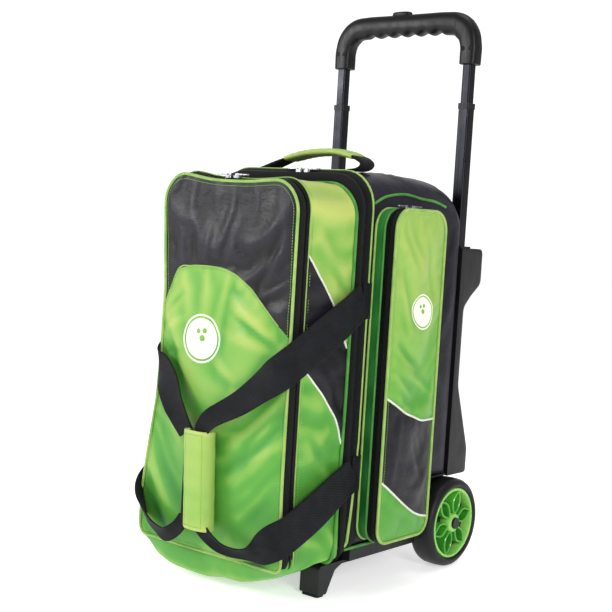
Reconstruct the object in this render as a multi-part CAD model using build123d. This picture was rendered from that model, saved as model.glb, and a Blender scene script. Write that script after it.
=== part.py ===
from build123d import *
import os
from math import sqrt

# Rolling two-ball bowling bag. X runs across it, Y from its front to its back,
# Z up. Everything is drawn about the bag's middle plane (X = 0), with the trolley
# tubes at Y = TUBE_Y, and moved at the end so that the origin is on the floor at
# the centre of the whole object's box.

# ---- driving dimensions, mm ----
BALL_RADIUS = 108.0
WHEEL_RADIUS = 63.5
WHEEL_Y = 134.0
WHEEL_INNER_X = 113.0
WHEEL_OUTER_X = 151.0
AXLE_RADIUS = 4.0

BODY_HALF = 130.0
BODY_FRONT_Y = -84.0
BODY_BACK_Y = 138.0
BODY_BOTTOM = 62.0
BODY_TOP = 568.0
SEWN_TOP_Z = 516.0
FABRIC = 5.0

MAIN_ZIP_Y = -98.0
ZIP_GAP = 0.5
DOOR_BACK_Y = -112.0
DOOR_FRONT_Y = -190.0
LID_FACE_Y = -221.0
LID_PANEL_BACK_Y = -212.0
LID_HALF = 113.0
LID_BOTTOM = 50.0
LID_TOP = 528.0

POCKET_Y = (-75.0, 38.0)
POCKET_Z = (70.0, 505.0)
POCKET_ZIP_X = 151.0
POCKET_FACE_X = 168.0

BASE_BOTTOM = 42.0
BASE_HALF = 128.0
WELL_INNER_X = 110.0
WELL_FRONT_Y = 67.0
WELL_TOP = 129.0
SHELL_BOTTOM = 128.0
SHELL_TOP = 457.0
SHELL_HALF = 130.0
SHELL_BACK_Y = 208.0
FENDER_BACK_Y = 201.0
SHELL_ROLL = (24.0, 18.0)

TUBE_X = 112.75
TUBE_Y = 150.0
TUBE_WALL = 1.2
TUBE_SIZES = {"fixed": 20.5, "lower": 17.5, "upper": 14.5}
FIXED_TUBE_Z = (135.0, 455.0)
LOWER_TUBE_Z = (331.0, 656.0)
UPPER_TUBE_Z = (388.0, 742.0)
GRIP_TOP = 797.0
GRIP_FRONT = 11.4
GRIP_REAR = 14.0
BUTTON_X = (-25.0, 5.0)
BUTTON_TOP = 801.0

WEBBING = 48.0
WEB_THICK = 3.0
WRAP_FACE_Y = -252.0

# the box that everything fills, in plan: wheel to pocket, and wrap to back shell
SPAN_X = (-WHEEL_OUTER_X - 3.0, POCKET_FACE_X)
SPAN_Y = (WRAP_FACE_Y, SHELL_BACK_Y)
PLACE = Pos(-sum(SPAN_X) / 2, -sum(SPAN_Y) / 2, 0)


# ---- helpers ----
def box(x, y, z):
    """A block between two values on each axis."""
    size = [abs(pair[1] - pair[0]) for pair in (x, y, z)]
    middle = [(pair[0] + pair[1]) / 2 for pair in (x, y, z)]
    return Pos(*middle) * Box(*size)


def mirrored(shape):
    return mirror(shape, about=Plane.YZ)


def pair(shape):
    """The shape and its mirror image, as one group of separate solids."""
    return Compound(children=[*shape.solids(), *mirrored(shape).solids()])


def front_face(y, sketch):
    """A sketch drawn as X, Z, standing at depth y."""
    return Plane.XZ.offset(-y) * sketch


def side_face(x, sketch):
    """A sketch drawn as Y, Z, standing at x."""
    return Plane.YZ.offset(x) * sketch


def rounded(points, radii):
    return make_face(FilletPolyline(*points, radius=radii, close=True).edges())


def window(half_width, bottom, top, radius, foot=8.0):
    """Upright outline, X by Z, with large top corners and small bottom ones."""
    points = [(-half_width, bottom), (half_width, bottom), (half_width, top), (-half_width, top)]
    return rounded(points, [foot, foot, radius, radius])


def crowned(half_width, bottom, top, drop, radius):
    """Upright outline, X by Z, whose top falls away by drop to each side."""
    shoulder = 0.35 * half_width
    points = [(-half_width, bottom), (half_width, bottom), (half_width, top - drop),
              (shoulder, top), (-shoulder, top), (-half_width, top - drop)]
    return rounded(points, [8.0, 8.0, radius, 3 * radius, 3 * radius, radius])


def ring_loft(stations, wall):
    """A tapering ring: each station is (y, half width, bottom, top, radius)."""
    outer = [front_face(y, window(w, b, t, r)) for y, w, b, t, r in stations]
    inner = [front_face(y, window(w - wall, b + wall, t - wall, r - wall, 4.0))
             for y, w, b, t, r in stations]
    return loft(outer, ruled=True) - loft(inner, ruled=True)


def tube_block(half, z, corner=0.0):
    """Square bar about the tubes' centre line, its upright edges rounded."""
    bar = box((TUBE_X - half, TUBE_X + half), (TUBE_Y - half, TUBE_Y + half), z)
    return fillet(bar.edges().filter_by(Axis.Z), corner) if corner else bar


def square_tube(size, z):
    bore = size / 2 - TUBE_WALL
    return tube_block(size / 2, z, 2.6) - tube_block(bore, (z[0] - 1, z[1] + 1), 1.4)


def along_x(radius, x0, x1, y, z):
    return Pos((x0 + x1) / 2, y, z) * Rot(0, 90, 0) * Cylinder(radius, abs(x1 - x0))


def upright(radius, z0, z1, x, y):
    return Pos(x, y, (z0 + z1) / 2) * Cylinder(radius, z1 - z0)


# ---- ball compartment ----
def well_room():
    """What the skin leaves out for the wheels and for the blocks that hold their axles."""
    margin = 3.3
    deep = (WELL_FRONT_Y - margin, BODY_BACK_Y + 1)
    well = box((WELL_INNER_X - margin, BODY_HALF + 2), deep, (BODY_BOTTOM - 2, WELL_TOP + margin))
    return pair(well + box((78, WELL_INNER_X), (WHEEL_Y - 16, BODY_BACK_Y + 1), (BODY_BOTTOM - 2, 80)))


def ball_shell():
    """The compartment's whole skin, open at the front."""
    tops = [(BODY_FRONT_Y, BODY_TOP - 10), (-30.0, BODY_TOP), (20.0, BODY_TOP),
            (80.0, BODY_TOP - 14), (BODY_BACK_Y, BODY_TOP - 44)]
    outer = [front_face(y, crowned(BODY_HALF, BODY_BOTTOM, top, 24.0, 38.0)) for y, top in tops]
    inner = [front_face(y, crowned(BODY_HALF - FABRIC, BODY_BOTTOM + FABRIC, top - FABRIC, 24.0, 34.0))
             for y, top in tops]
    room = loft(inner, ruled=True) & box((-BODY_HALF, BODY_HALF), (BODY_FRONT_Y - 1, BODY_BACK_Y - FABRIC),
                                         (0, BODY_TOP))
    return loft(outer, ruled=True) - room - well_room()


def ball_panels():
    """The skin cut along its seams into the panels that are sewn together."""
    shell = ball_shell()
    wide = (-BODY_HALF - 1, BODY_HALF + 1)
    deep = (BODY_FRONT_Y - 1, BODY_BACK_Y + 1)
    front_part = (BODY_FRONT_Y - 1, BODY_BACK_Y - FABRIC)
    floor_top = BODY_BOTTOM + FABRIC
    side_x = BODY_HALF - 24
    right = shell & box((side_x, BODY_HALF + 1), front_part, (floor_top, SEWN_TOP_Z))
    top = shell & (box(wide, deep, (SEWN_TOP_Z, BODY_TOP + 1)) + box((-side_x, side_x), front_part, (400, SEWN_TOP_Z)))
    return {
        "top_panel": top,
        "back_panel": shell & box(wide, (BODY_BACK_Y - FABRIC, BODY_BACK_Y + 1), (floor_top, SEWN_TOP_Z)),
        "bottom_panel": shell & box(wide, deep, (BODY_BOTTOM - 1, floor_top)),
        "right_side_panel": right,
        "left_side_panel": mirrored(right),
    }


def main_zipper_tape():
    """Half of the main zipper, sewn round the mouth of the ball compartment."""
    stations = [(MAIN_ZIP_Y + ZIP_GAP, 127.5, 56.0, 546.0, 46.0), (BODY_FRONT_Y, 129.5, 62.0, 550.0, 46.0)]
    return ring_loft(stations, 3.0)


def ball_cup():
    """Foam ring on the floor that the lower ball sits in."""
    seat_z = BODY_BOTTOM + FABRIC
    centre_z = seat_z + BALL_RADIUS + 4
    block = box((-100, 100), (-62, 112), (seat_z, seat_z + 30))
    return block - Pos(0, 25, centre_z) * Sphere(BALL_RADIUS + 0.5) - upright(30, 0, 200, 0, 25)


def ball_shelf():
    """Stiff divider with a round hole that keeps the upper ball off the lower one."""
    plate = box((-124.5, 124.5), (-80, 132.5), (304, 310))
    return plate - upright(62, 300, 320, 0, 26)


# ---- moulded base, back shell and their fittings ----
def wheel_wells():
    """Moulded housing round each wheel: an inner wall, a front wall and a roof."""
    wall = 3.0
    well = box((WELL_INNER_X - wall, BASE_HALF), (WELL_FRONT_Y - wall, 160), (BASE_BOTTOM, SHELL_BOTTOM - 0.5))
    roof = box((WELL_INNER_X - wall, BASE_HALF), (WELL_FRONT_Y - wall, BODY_BACK_Y - 0.2),
               (SHELL_BOTTOM - 1, WELL_TOP + wall))
    hollow = box((WELL_INNER_X, BASE_HALF + 1), (WELL_FRONT_Y, 161), (0, WELL_TOP))
    return pair(well + roof - hollow - along_x(AXLE_RADIUS + 0.05, 80, 170, WHEEL_Y, WHEEL_RADIUS))


def base_tray():
    inner = WELL_INNER_X - 3
    floor = box((-BASE_HALF, BASE_HALF), (BODY_FRONT_Y, 160), (BASE_BOTTOM, BASE_BOTTOM + 8))
    rim = box((-BASE_HALF, BASE_HALF), (BODY_FRONT_Y, WELL_FRONT_Y), (BASE_BOTTOM + 8, BODY_BOTTOM - 0.5))
    rim -= box((-BASE_HALF + 3, BASE_HALF - 3), (BODY_FRONT_Y + 3, WELL_FRONT_Y + 1), (40, 70))
    ribs = [box((-118, 118), (y, y + 3), (BASE_BOTTOM + 8, BODY_BOTTOM - 0.5)) for y in (-50, -10, 30)]
    skid = extrude(side_face(-12, rounded([(-25, 43), (10, 30), (28, 30), (60, 43)], [1, 8, 8, 1])), amount=24)
    rear = box((-inner, inner), (157, 160), (BASE_BOTTOM + 8, SHELL_BOTTOM - 0.5))
    tray = floor + rim + skid + rear
    for rib in ribs:
        tray += rib
    tray -= pair(box((inner, BASE_HALF + 1), (WELL_FRONT_Y - 3, 161), (0, 140)))
    tray += pair(box((84, inner), (WHEEL_Y - 14, WHEEL_Y + 14), (BASE_BOTTOM + 8, 78)))
    return tray - along_x(AXLE_RADIUS + 0.05, -170, 170, WHEEL_Y, WHEEL_RADIUS)


def front_leg():
    profile = [(-135, 3), (-118, 3), (-102, 32), (-88, 38), (-60, 38), (-60, 42), (-135, 42)]
    return extrude(side_face(88, rounded(profile, [3, 3, 8, 6, 1, 1, 5])), amount=31)


def foot_pad():
    return fillet(box((90, 117), (-134, -119), (0, 3)).edges().filter_by(Axis.Z), 4)


def shell_profile(inset, wall):
    """Side outline of the back shell, Y by Z: fender, tube cover, then the tube housing."""
    front = BODY_BACK_Y + (0.2 if wall == 0 else -2.0)
    back = -inset - wall
    fender, deepest = FENDER_BACK_Y + back, SHELL_BACK_Y + back
    low, high = SHELL_BOTTOM + wall, SHELL_TOP - wall
    points = [(front, low), (fender, low), (fender, 163 - wall / 2), (166 + back, 258 - wall / 2),
              (166 + back, 372 + wall / 2), (184 + back, 388 + wall), (deepest, 405 + wall),
              (deepest, high), (front, high)]
    return rounded(points, [0.5, 3, 30, 40, 16, 12, 10, 10, 0.5])


def rounded_loft(wall):
    """The outline carried across the bag, with its outer ends rolled forward."""
    edge = SHELL_HALF - wall
    across, deep = SHELL_ROLL
    steps = [0.0, 10.0, 16.0, 20.0, 22.5, across]
    stations = [(edge - across + s, deep * (1 - sqrt(1 - (s / across) ** 2))) for s in steps]
    faces = [side_face(-x, shell_profile(inset, wall)) for x, inset in reversed(stations)]
    faces += [side_face(x, shell_profile(inset, wall)) for x, inset in stations]
    return loft(faces, ruled=True)


def back_shell():
    shell = rounded_loft(0.0) - rounded_loft(4.0)
    run = tube_block(10.6, (SHELL_BOTTOM + 4, SHELL_TOP + 5), 2.6)
    return shell - pair(run + tube_foot_block(0.2))


def fixed_tubes():
    return pair(square_tube(TUBE_SIZES["fixed"], FIXED_TUBE_Z))


def tube_foot_block(gap):
    return box((101 - gap, 124.5 + gap), (BODY_BACK_Y + 0.7, 161.5 + gap), (SHELL_BOTTOM + 4.2, 150 + gap))


def tube_feet():
    """Blocks above the wheels that the fixed tubes stand in."""
    block = tube_foot_block(0.0)
    return pair(block - tube_block(TUBE_SIZES["fixed"] / 2 + 0.05, (FIXED_TUBE_Z[0], 151)))


def tube_guides():
    """Bushes in the shell's top that the sliding tubes run through."""
    flange = box((TUBE_X - 14, TUBE_X + 14), (TUBE_Y - 14 + 2.4, TUBE_Y + 14), (SHELL_TOP, SHELL_TOP + 3))
    return pair(flange - tube_block(TUBE_SIZES["lower"] / 2 + 0.3, (SHELL_TOP - 1, SHELL_TOP + 4)))


def axle_bolts():
    shank = along_x(AXLE_RADIUS, 82, WHEEL_OUTER_X, WHEEL_Y, WHEEL_RADIUS)
    head = along_x(8, WHEEL_OUTER_X, WHEEL_OUTER_X + 3, WHEEL_Y, WHEEL_RADIUS)
    nut = Pos(79.8, WHEEL_Y, WHEEL_RADIUS) * Rot(0, 90, 0) * extrude(RegularPolygon(7.5, 6), amount=4)
    return pair(shank + head + nut)


# ---- wheels ----
def wheel_pieces():
    """The right wheel: tyre, spoked hub and its two bearings."""
    middle = (WHEEL_INNER_X + WHEEL_OUTER_X) / 2
    width = WHEEL_OUTER_X - WHEEL_INNER_X
    axis_place = Pos(middle, WHEEL_Y, WHEEL_RADIUS) * Rot(0, 90, 0)
    tyre = Cylinder(WHEEL_RADIUS, width)
    tyre = fillet(tyre.edges(), 9) - Cylinder(50, width + 2)
    rim = Cylinder(50, width - 4) - Cylinder(45.5, width)
    boss = Cylinder(15, width) - Cylinder(11, width + 2)
    boss += Cylinder(11, width - 16) - Cylinder(6, width)
    web = Cylinder(46, 3) - Cylinder(14, 4)
    hub = rim + boss + web
    for turn in range(6):
        for bend in (1, -1):
            spoke = trace(ThreePointArc((13, 0), (31, 7.5 * bend), (47, 0)), line_width=3.2)
            blade = Pos(0, 0, -(width - 6) / 2) * extrude(spoke, amount=width - 6)
            hub += Rot(0, 0, 60 * turn) * blade
    bearing = Cylinder(11, 7) - Cylinder(AXLE_RADIUS + 0.05, 8)
    shift = width / 2 - 4
    bearings = [axis_place * Pos(0, 0, s) * bearing for s in (-shift, shift)]
    return axis_place * tyre, axis_place * hub, Compound(children=[solid for b in bearings for solid in b.solids()])


# ---- telescoping handle ----
def lower_stage():
    size = TUBE_SIZES["lower"]
    tubes = pair(square_tube(size, LOWER_TUBE_Z))
    z = (LOWER_TUBE_Z[1], LOWER_TUBE_Z[1] + 8)
    hole = tube_block(TUBE_SIZES["upper"] / 2 + 0.3, (z[0] - 1, z[1] + 1))
    return tubes, pair(tube_block(9.6, z, 3.0) - hole)


def grip_outline():
    points = [(99, 719), (125.5, 719), (127.5, 744), (108, 785), (70, GRIP_TOP), (-70, GRIP_TOP), (-108, 785),
              (-127.5, 744), (-125.5, 719), (-99, 719), (-98, 738), (-82, 763), (82, 763), (98, 738)]
    return rounded(points, [2, 3, 24, 30, 60, 60, 30, 24, 3, 2, 14, 14, 14, 14])


def grip():
    """The whole grip, with sockets for the tubes and room for the release bar."""
    solid = extrude(front_face(TUBE_Y + GRIP_REAR, grip_outline()), amount=GRIP_REAR + GRIP_FRONT)
    socket = tube_block(TUBE_SIZES["upper"] / 2 + 0.02, (710, UPPER_TUBE_Z[1]))
    room = socket + upright(3.4, 740, 750, TUBE_X, TUBE_Y) + upright(6, 745, 768, TUBE_X, TUBE_Y)
    bar_room = box((-116.5, 116.5), (TUBE_Y - 4, TUBE_Y + 4), (764.3, 773.5))
    slot = box((BUTTON_X[0] - 0.4, BUTTON_X[1] + 0.4), (TUBE_Y - 6.4, TUBE_Y + 6.4), (769, GRIP_TOP + 1))
    solid = solid - room - mirrored(room) - bar_room - slot
    screws = grip_screw_holes()
    return solid - screws - mirrored(screws)


def grip_screw_places():
    return [(TUBE_X - 9.5, 752), (TUBE_X + 10, 752)]


def grip_screw_holes():
    front = TUBE_Y - GRIP_FRONT
    holes = [Pos(x, TUBE_Y, z) * Rot(90, 0, 0) * Cylinder(1.8, 19.6) for x, z in grip_screw_places()]
    heads = [Pos(x, front + 1, z) * Rot(90, 0, 0) * Cylinder(3.2, 2) for x, z in grip_screw_places()]
    return Compound(children=[solid for shape in holes + heads for solid in shape.solids()])


def grip_screws():
    front = TUBE_Y - GRIP_FRONT
    screws = []
    for x, z in grip_screw_places():
        shank = Pos(x, TUBE_Y, z) * Rot(90, 0, 0) * Cylinder(1.7, 19)
        screws.append(shank + Pos(x, front + 1.2, z) * Rot(90, 0, 0) * Cylinder(3.0, 1.6))
    return pair(Compound(children=[solid for screw in screws for solid in screw.solids()]))


def release_button():
    cap = box(BUTTON_X, (TUBE_Y - 6, TUBE_Y + 6), (774, BUTTON_TOP))
    cap = fillet(cap.edges().group_by(Axis.Z)[-1], 2)
    return cap + box((BUTTON_X[0], BUTTON_X[1]), (TUBE_Y - 3.5, TUBE_Y + 3.5), (773, 774.5))


def release_rods():
    """Cross bar under the button and the rods that reach down into the tubes."""
    bar = box((-116, 116), (TUBE_Y - 3.5, TUBE_Y + 3.5), (768, 773))
    return bar + upright(3, 420, 768, TUBE_X, TUBE_Y) + upright(3, 420, 768, -TUBE_X, TUBE_Y)


def button_springs():
    """Return springs round the rods, drawn as the sleeves that they fill."""
    sleeve = upright(5.2, 745.2, 767.8, TUBE_X, TUBE_Y) - upright(3.8, 740, 770, TUBE_X, TUBE_Y)
    return pair(sleeve)


# ---- front door: the shoe compartment, which swings on its left edge ----
def door_panels():
    stations = [(DOOR_BACK_Y, 125.0, 47.0, 542.0, 44.0), (DOOR_FRONT_Y, 114.0, 47.0, 532.0, 38.0)]
    ring = ring_loft(stations, FABRIC)
    deep = (DOOR_FRONT_Y - 1, DOOR_BACK_Y + 1)
    floor_top, top_z = 47.0 + FABRIC, 495.0
    right = ring & box((0, 130), deep, (floor_top, top_z))
    back = extrude(front_face(DOOR_BACK_Y + 4, window(121.5, 50.0, 538.0, 40.0)), amount=4)
    sag = make_face([Line((-108, 47), (108, 47)), ThreePointArc((108, 47), (18, 25), (-108, 47))])
    gusset = ring & box((-130, 130), deep, (40, floor_top))
    return {
        "door_back_panel": back,
        "door_top_panel": ring & box((-130, 130), deep, (top_z, 560)),
        "door_right_side": right,
        "door_left_side": mirrored(right),
        "door_bottom_gusset": gusset + extrude(front_face(-150, sag), amount=-150 - LID_PANEL_BACK_Y),
    }


def door_zipper_tape():
    stations = [(DOOR_BACK_Y + 4, 125.5, 50.0, 543.0, 46.0), (MAIN_ZIP_Y - ZIP_GAP, 127.2, 55.0, 545.7, 46.0)]
    return ring_loft(stations, 3.0)


def edge_cord(face, reach, amount):
    """A sewn edge cord round an outline, drawn as a square ring outside it."""
    return extrude(offset(face, amount=reach) - face, amount=amount)


def shoe_zipper_tape():
    ring = ring_loft([(DOOR_FRONT_Y, 114.0, 47.0, 532.0, 38.0), (DOOR_FRONT_Y - 6, 113.5, 47.0, 531.4, 38.0)], 2.0)
    return ring & box((-130, 130), (DOOR_FRONT_Y - 7, DOOR_FRONT_Y + 1), (70, 560))


# ---- lid: the front panel, which folds down on its bottom edge ----
def lid_face(y):
    return front_face(y, window(LID_HALF, LID_BOTTOM, LID_TOP, 36.0))


def lid_panel():
    return extrude(lid_face(LID_PANEL_BACK_Y), amount=LID_PANEL_BACK_Y - LID_FACE_Y)


def lid_zipper_band():
    back_y = DOOR_FRONT_Y - 6 - ZIP_GAP
    depth = back_y - LID_PANEL_BACK_Y
    outer = front_face(back_y, window(LID_HALF, LID_BOTTOM, LID_TOP, 36.0))
    inner = front_face(back_y, window(LID_HALF - 3, LID_BOTTOM + 3, LID_TOP - 3, 33.0, 4.0))
    ring = extrude(outer, amount=depth) - extrude(inner, amount=depth)
    return ring & box((-130, 130), (LID_PANEL_BACK_Y - 1, back_y + 1), (70, 560))


def lid_piping():
    return edge_cord(lid_face(LID_PANEL_BACK_Y - 1), 2.5, 4) & box((-130, 130), (-230, -200), (LID_BOTTOM, 560))


# ---- side pocket and its flap, which swings on its back edge ----
def pocket_outline(x, inset=0.0):
    points = [(POCKET_Y[0] + inset, POCKET_Z[0] + inset), (POCKET_Y[1] - inset, POCKET_Z[0] + inset),
              (POCKET_Y[1] - inset, POCKET_Z[1] - inset), (POCKET_Y[0] + inset, POCKET_Z[1] - inset)]
    return side_face(x, rounded(points, [20 - inset] * 4))


def pocket_ring(x0, x1, wall):
    return extrude(pocket_outline(x0), amount=x1 - x0) - extrude(pocket_outline(x0, wall), amount=x1 - x0)


def pocket_parts():
    gusset_x = BODY_HALF + 0.3
    flap_x = POCKET_FACE_X - 6
    return {
        "pocket_gusset": pocket_ring(gusset_x, POCKET_ZIP_X - 5.5, 4),
        "pocket_zipper_tape": pocket_ring(POCKET_ZIP_X - 5.5, POCKET_ZIP_X - ZIP_GAP, 2.5),
        "pocket_flap_band": pocket_ring(POCKET_ZIP_X + ZIP_GAP, flap_x, 3),
        "pocket_flap_panel": extrude(pocket_outline(flap_x), amount=POCKET_FACE_X - flap_x),
        "pocket_flap_piping": edge_cord(pocket_outline(flap_x + 1), 2.5, 4),
    }


# ---- zipper sliders: a body and its pull tab ----
def slider(lean):
    """Slider lying on a zipper that runs along X, its pull leaning to one side."""
    body = fillet(box((-5, 5), (-4, 4), (0.4, 4.2)).edges().filter_by(Axis.Z), 2)
    loop = box((-3, 3), (-1.2, 1.2), (4.2, 6.4))
    tab = fillet(box((0, 20), (-3, 3), (4.4, 6.0)).edges().filter_by(Axis.Z), 2.5)
    return body + loop + (tab if lean > 0 else mirrored(tab))


def sliders():
    shoe_y = DOOR_FRONT_Y - 6.2
    pocket_turn = Rot(0, 0, 90)
    return {
        "shoe_zip_slider_left": Pos(-19, shoe_y, 532) * slider(-1),
        "shoe_zip_slider_right": Pos(-5, shoe_y, 532) * slider(1),
        "main_zip_slider_left": Pos(16, MAIN_ZIP_Y, 546.9) * slider(-1),
        "main_zip_slider_right": Pos(30, MAIN_ZIP_Y, 546.9) * slider(1),
        "pocket_zip_slider_front": Pos(POCKET_ZIP_X, -40, POCKET_Z[1]) * pocket_turn * slider(-1),
        "pocket_zip_slider_rear": Pos(POCKET_ZIP_X, -26, POCKET_Z[1]) * pocket_turn * slider(1),
    }


# ---- handles and carrying straps ----
def top_handle():
    """Webbing sewn to the top at both ends, its right end folded under, and the sleeve round it."""
    y = (-65.0, -35.0)
    arch = FilletPolyline((-104, 553), (-84, 558.6), (-46, 571.5), (22, 580), (74, 576), (98.5, 568.5),
                          (95, 555.8), (78, 560.6), radius=[12, 30, 60, 30, 4, 4])
    band = extrude(front_face(y[1], trace(arch, line_width=WEB_THICK)), amount=y[1] - y[0])
    sleeve = extrude(front_face(y[1] + 2, trace(arch, line_width=8)), amount=y[1] - y[0] + 4)
    sleeve = sleeve & box((-44, 77), (y[0] - 3, y[1] + 3), (566.5, 600))
    return band, sleeve - band


def ribbon(stations, start, end):
    """Flat webbing through stations of (centre, outward direction, width, thickness)."""
    centres = [Vector(*station[0]) for station in stations]
    faces = []
    for index, (_, outward, width, thick) in enumerate(stations):
        if index == 0:
            ahead = Vector(*start)
        elif index == len(stations) - 1:
            ahead = Vector(*end)
        else:
            ahead = (centres[index + 1] - centres[index - 1]).normalized()
        across = ahead.cross(Vector(*outward)).normalized()
        faces.append(Plane(origin=centres[index], x_dir=across, z_dir=ahead) * Rectangle(width, thick))
    return loft(faces, ruled=True)


def strap_run(side, route):
    """One stretch of a loop, from the tab in the side seam to its bunched end in the wrap."""
    into_wrap = (0, 0, -1) if route[-1][2] > 150 else (0, 0, 1)
    out, corner, front = (side, 0, 0), (0.75 * side, -0.65, 0), (0, -1, 0)
    outwards = [out, out, (side, -0.12, 0), (0.95 * side, -0.3, 0), corner, front, front, front, front, front]
    widths = [WEBBING] * 7 + [36, 24, 16]
    thicks = [WEB_THICK] * 7 + [3.5, 4, 5]
    return ribbon(list(zip(route, outwards, widths, thicks)), (0, -1, 0), into_wrap)


def strap_tabs():
    """Short tabs in the side seams that the carrying loops start from."""
    half = WEBBING / 2
    tabs = [box((BODY_HALF + 1, BODY_HALF + 4), (-97, -78), (z - half, z + half)) for z in (385.0, 160.0)]
    return pair(Compound(children=[solid for tab in tabs for solid in tab.solids()]))


def right_strap():
    """Right loop: down across the front into the wrap, out of it below and back."""
    upper = [(132.5, -97.5, 385), (132.5, -125, 369), (129, -168, 343), (124.5, -212, 316), (116, -227.5, 303),
             (88, -231, 278), (60, -234, 256), (34, -240, 239), (12, -244, 227), (-6, -244.5, 208.5)]
    lower = [(132.5, -97.5, 160), (132.5, -125, 147), (129, -168, 124), (124.5, -212, 98), (116, -227.5, 86),
             (88, -232, 70), (60, -236, 64), (32, -242, 62), (11, -244, 68), (-5, -244.5, 87.5)]
    inside = box((-20, 8), (-247, -242), (88, 208))
    return [strap_run(1, upper), strap_run(1, lower), inside]


def left_strap():
    """Left loop, whose stretch inside the wrap lies behind the right one's."""
    upper = [(-132.5, -97.5, 385), (-132.5, -125, 378), (-129, -168, 356), (-124.5, -212, 330), (-116, -227.5, 318),
             (-92, -230, 292), (-68, -232, 264), (-46, -235, 240), (-30, -236, 224), (-18, -236, 208.5)]
    lower = [(-132.5, -97.5, 160), (-132.5, -125, 152), (-129, -168, 138), (-124.5, -212, 120), (-116, -227.5, 108),
             (-90, -231, 84), (-66, -234, 74), (-42, -236, 66), (-26, -236, 72), (-18, -236, 87.5)]
    inside = box((-24, 4), (-238.5, -233.5), (88, 208))
    return [strap_run(-1, upper), strap_run(-1, lower), inside]


def strap_wrap():
    """Sleeve that holds the two loops together in front of the bag, open along its left side."""
    outer = rounded([(-30, WRAP_FACE_Y), (12, WRAP_FACE_Y), (12, -229), (-30, -229)], [5, 5, 5, 5])
    sleeve = extrude(Plane.XY.offset(86) * (outer - offset(outer, amount=-3)), amount=124)
    return sleeve - box((-31, -26.8), (-248, -233), (80, 220))


# ---- gathering and writing ----
def named_parts():
    parts = dict(ball_panels())
    parts["main_zipper_tape"] = main_zipper_tape()
    parts["ball_cup"] = ball_cup()
    parts["ball_shelf"] = ball_shelf()
    parts["base_tray"] = base_tray()
    parts["wheel_wells"] = wheel_wells()
    parts["front_legs"] = pair(front_leg())
    parts["foot_pads"] = pair(foot_pad())
    parts["back_shell"] = back_shell()
    parts["fixed_tubes"] = fixed_tubes()
    parts["tube_feet"] = tube_feet()
    parts["tube_guides"] = tube_guides()
    parts["axle_bolts"] = axle_bolts()
    for piece, shape in zip(("tyre", "hub", "bearings"), wheel_pieces()):
        parts["right_" + piece] = shape
        parts["left_" + piece] = mirrored(shape)
    parts["lower_tubes"], parts["lower_tube_caps"] = lower_stage()
    parts["upper_tubes"] = pair(square_tube(TUBE_SIZES["upper"], UPPER_TUBE_Z))
    whole_grip = grip()
    parts["grip_front_half"] = whole_grip & box((-150, 150), (TUBE_Y - 20, TUBE_Y), (700, 810))
    parts["grip_rear_half"] = whole_grip & box((-150, 150), (TUBE_Y, TUBE_Y + 20), (700, 810))
    parts["grip_screws"] = grip_screws()
    parts["release_button"] = release_button()
    parts["release_rods"] = release_rods()
    parts["button_springs"] = button_springs()
    parts.update(door_panels())
    parts["door_zipper_tape"] = door_zipper_tape()
    parts["shoe_zipper_tape"] = shoe_zipper_tape()
    parts["lid_panel"] = lid_panel()
    parts["lid_zipper_band"] = lid_zipper_band()
    parts["lid_piping"] = lid_piping()
    parts.update(pocket_parts())
    parts.update(sliders())
    parts["top_handle_webbing"], parts["top_handle_sleeve"] = top_handle()
    parts["strap_tabs"] = strap_tabs()
    for name, stretches in (("right_strap", right_strap()), ("left_strap", left_strap())):
        parts[name] = Compound(children=[solid for stretch in stretches for solid in stretch.solids()])
    parts["strap_wrap"] = strap_wrap()
    return parts


os.makedirs("parts", exist_ok=True)
for name, shape in named_parts().items():
    export_step(PLACE * shape, f"parts/{name}.step")
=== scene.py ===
import math

import bpy
import bmesh
import numpy as np
from mathutils import Matrix, Vector
from mathutils.bvhtree import BVHTree


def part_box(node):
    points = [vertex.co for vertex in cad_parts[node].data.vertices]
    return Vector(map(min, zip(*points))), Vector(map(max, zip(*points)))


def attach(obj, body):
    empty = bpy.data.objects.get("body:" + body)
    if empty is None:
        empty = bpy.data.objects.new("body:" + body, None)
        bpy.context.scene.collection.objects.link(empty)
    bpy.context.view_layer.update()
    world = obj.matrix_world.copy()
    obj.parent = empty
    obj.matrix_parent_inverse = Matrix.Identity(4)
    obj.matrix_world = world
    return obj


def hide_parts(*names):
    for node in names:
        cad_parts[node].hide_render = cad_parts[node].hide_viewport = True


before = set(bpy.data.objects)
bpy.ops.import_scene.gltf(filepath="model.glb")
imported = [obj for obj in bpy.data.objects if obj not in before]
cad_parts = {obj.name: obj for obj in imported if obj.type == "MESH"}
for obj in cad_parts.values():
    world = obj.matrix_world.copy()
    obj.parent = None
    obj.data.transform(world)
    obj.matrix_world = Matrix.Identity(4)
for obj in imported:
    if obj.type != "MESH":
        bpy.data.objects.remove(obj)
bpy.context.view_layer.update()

# Rolling two-ball bowling bag. Pieces are laid out in millimetres about the bag's
# middle plane (x = 0, y towards the back, z up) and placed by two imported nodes.
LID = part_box("lid_panel")
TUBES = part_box("lower_tubes")
MID_X = (LID[0][0] + LID[1][0]) / 2
ZERO_Y = (TUBES[0][1] + TUBES[1][1]) / 2 - 0.150

ORIGIN = np.array([MID_X, ZERO_Y, 0.0])


def at(points):
    """Millimetres on the bag to metres in the frame."""
    return np.asarray(points, float) / 1000.0 + ORIGIN


def back_to_mm(co):
    """Metres in the frame, flat or in rows of three, to millimetres on the bag."""
    return (np.reshape(co, (-1, 3)).astype(float) - ORIGIN) * 1000.0


def spot(x, y, z):
    """One place on the bag, in the frame."""
    return tuple(at([x, y, z]))


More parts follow.
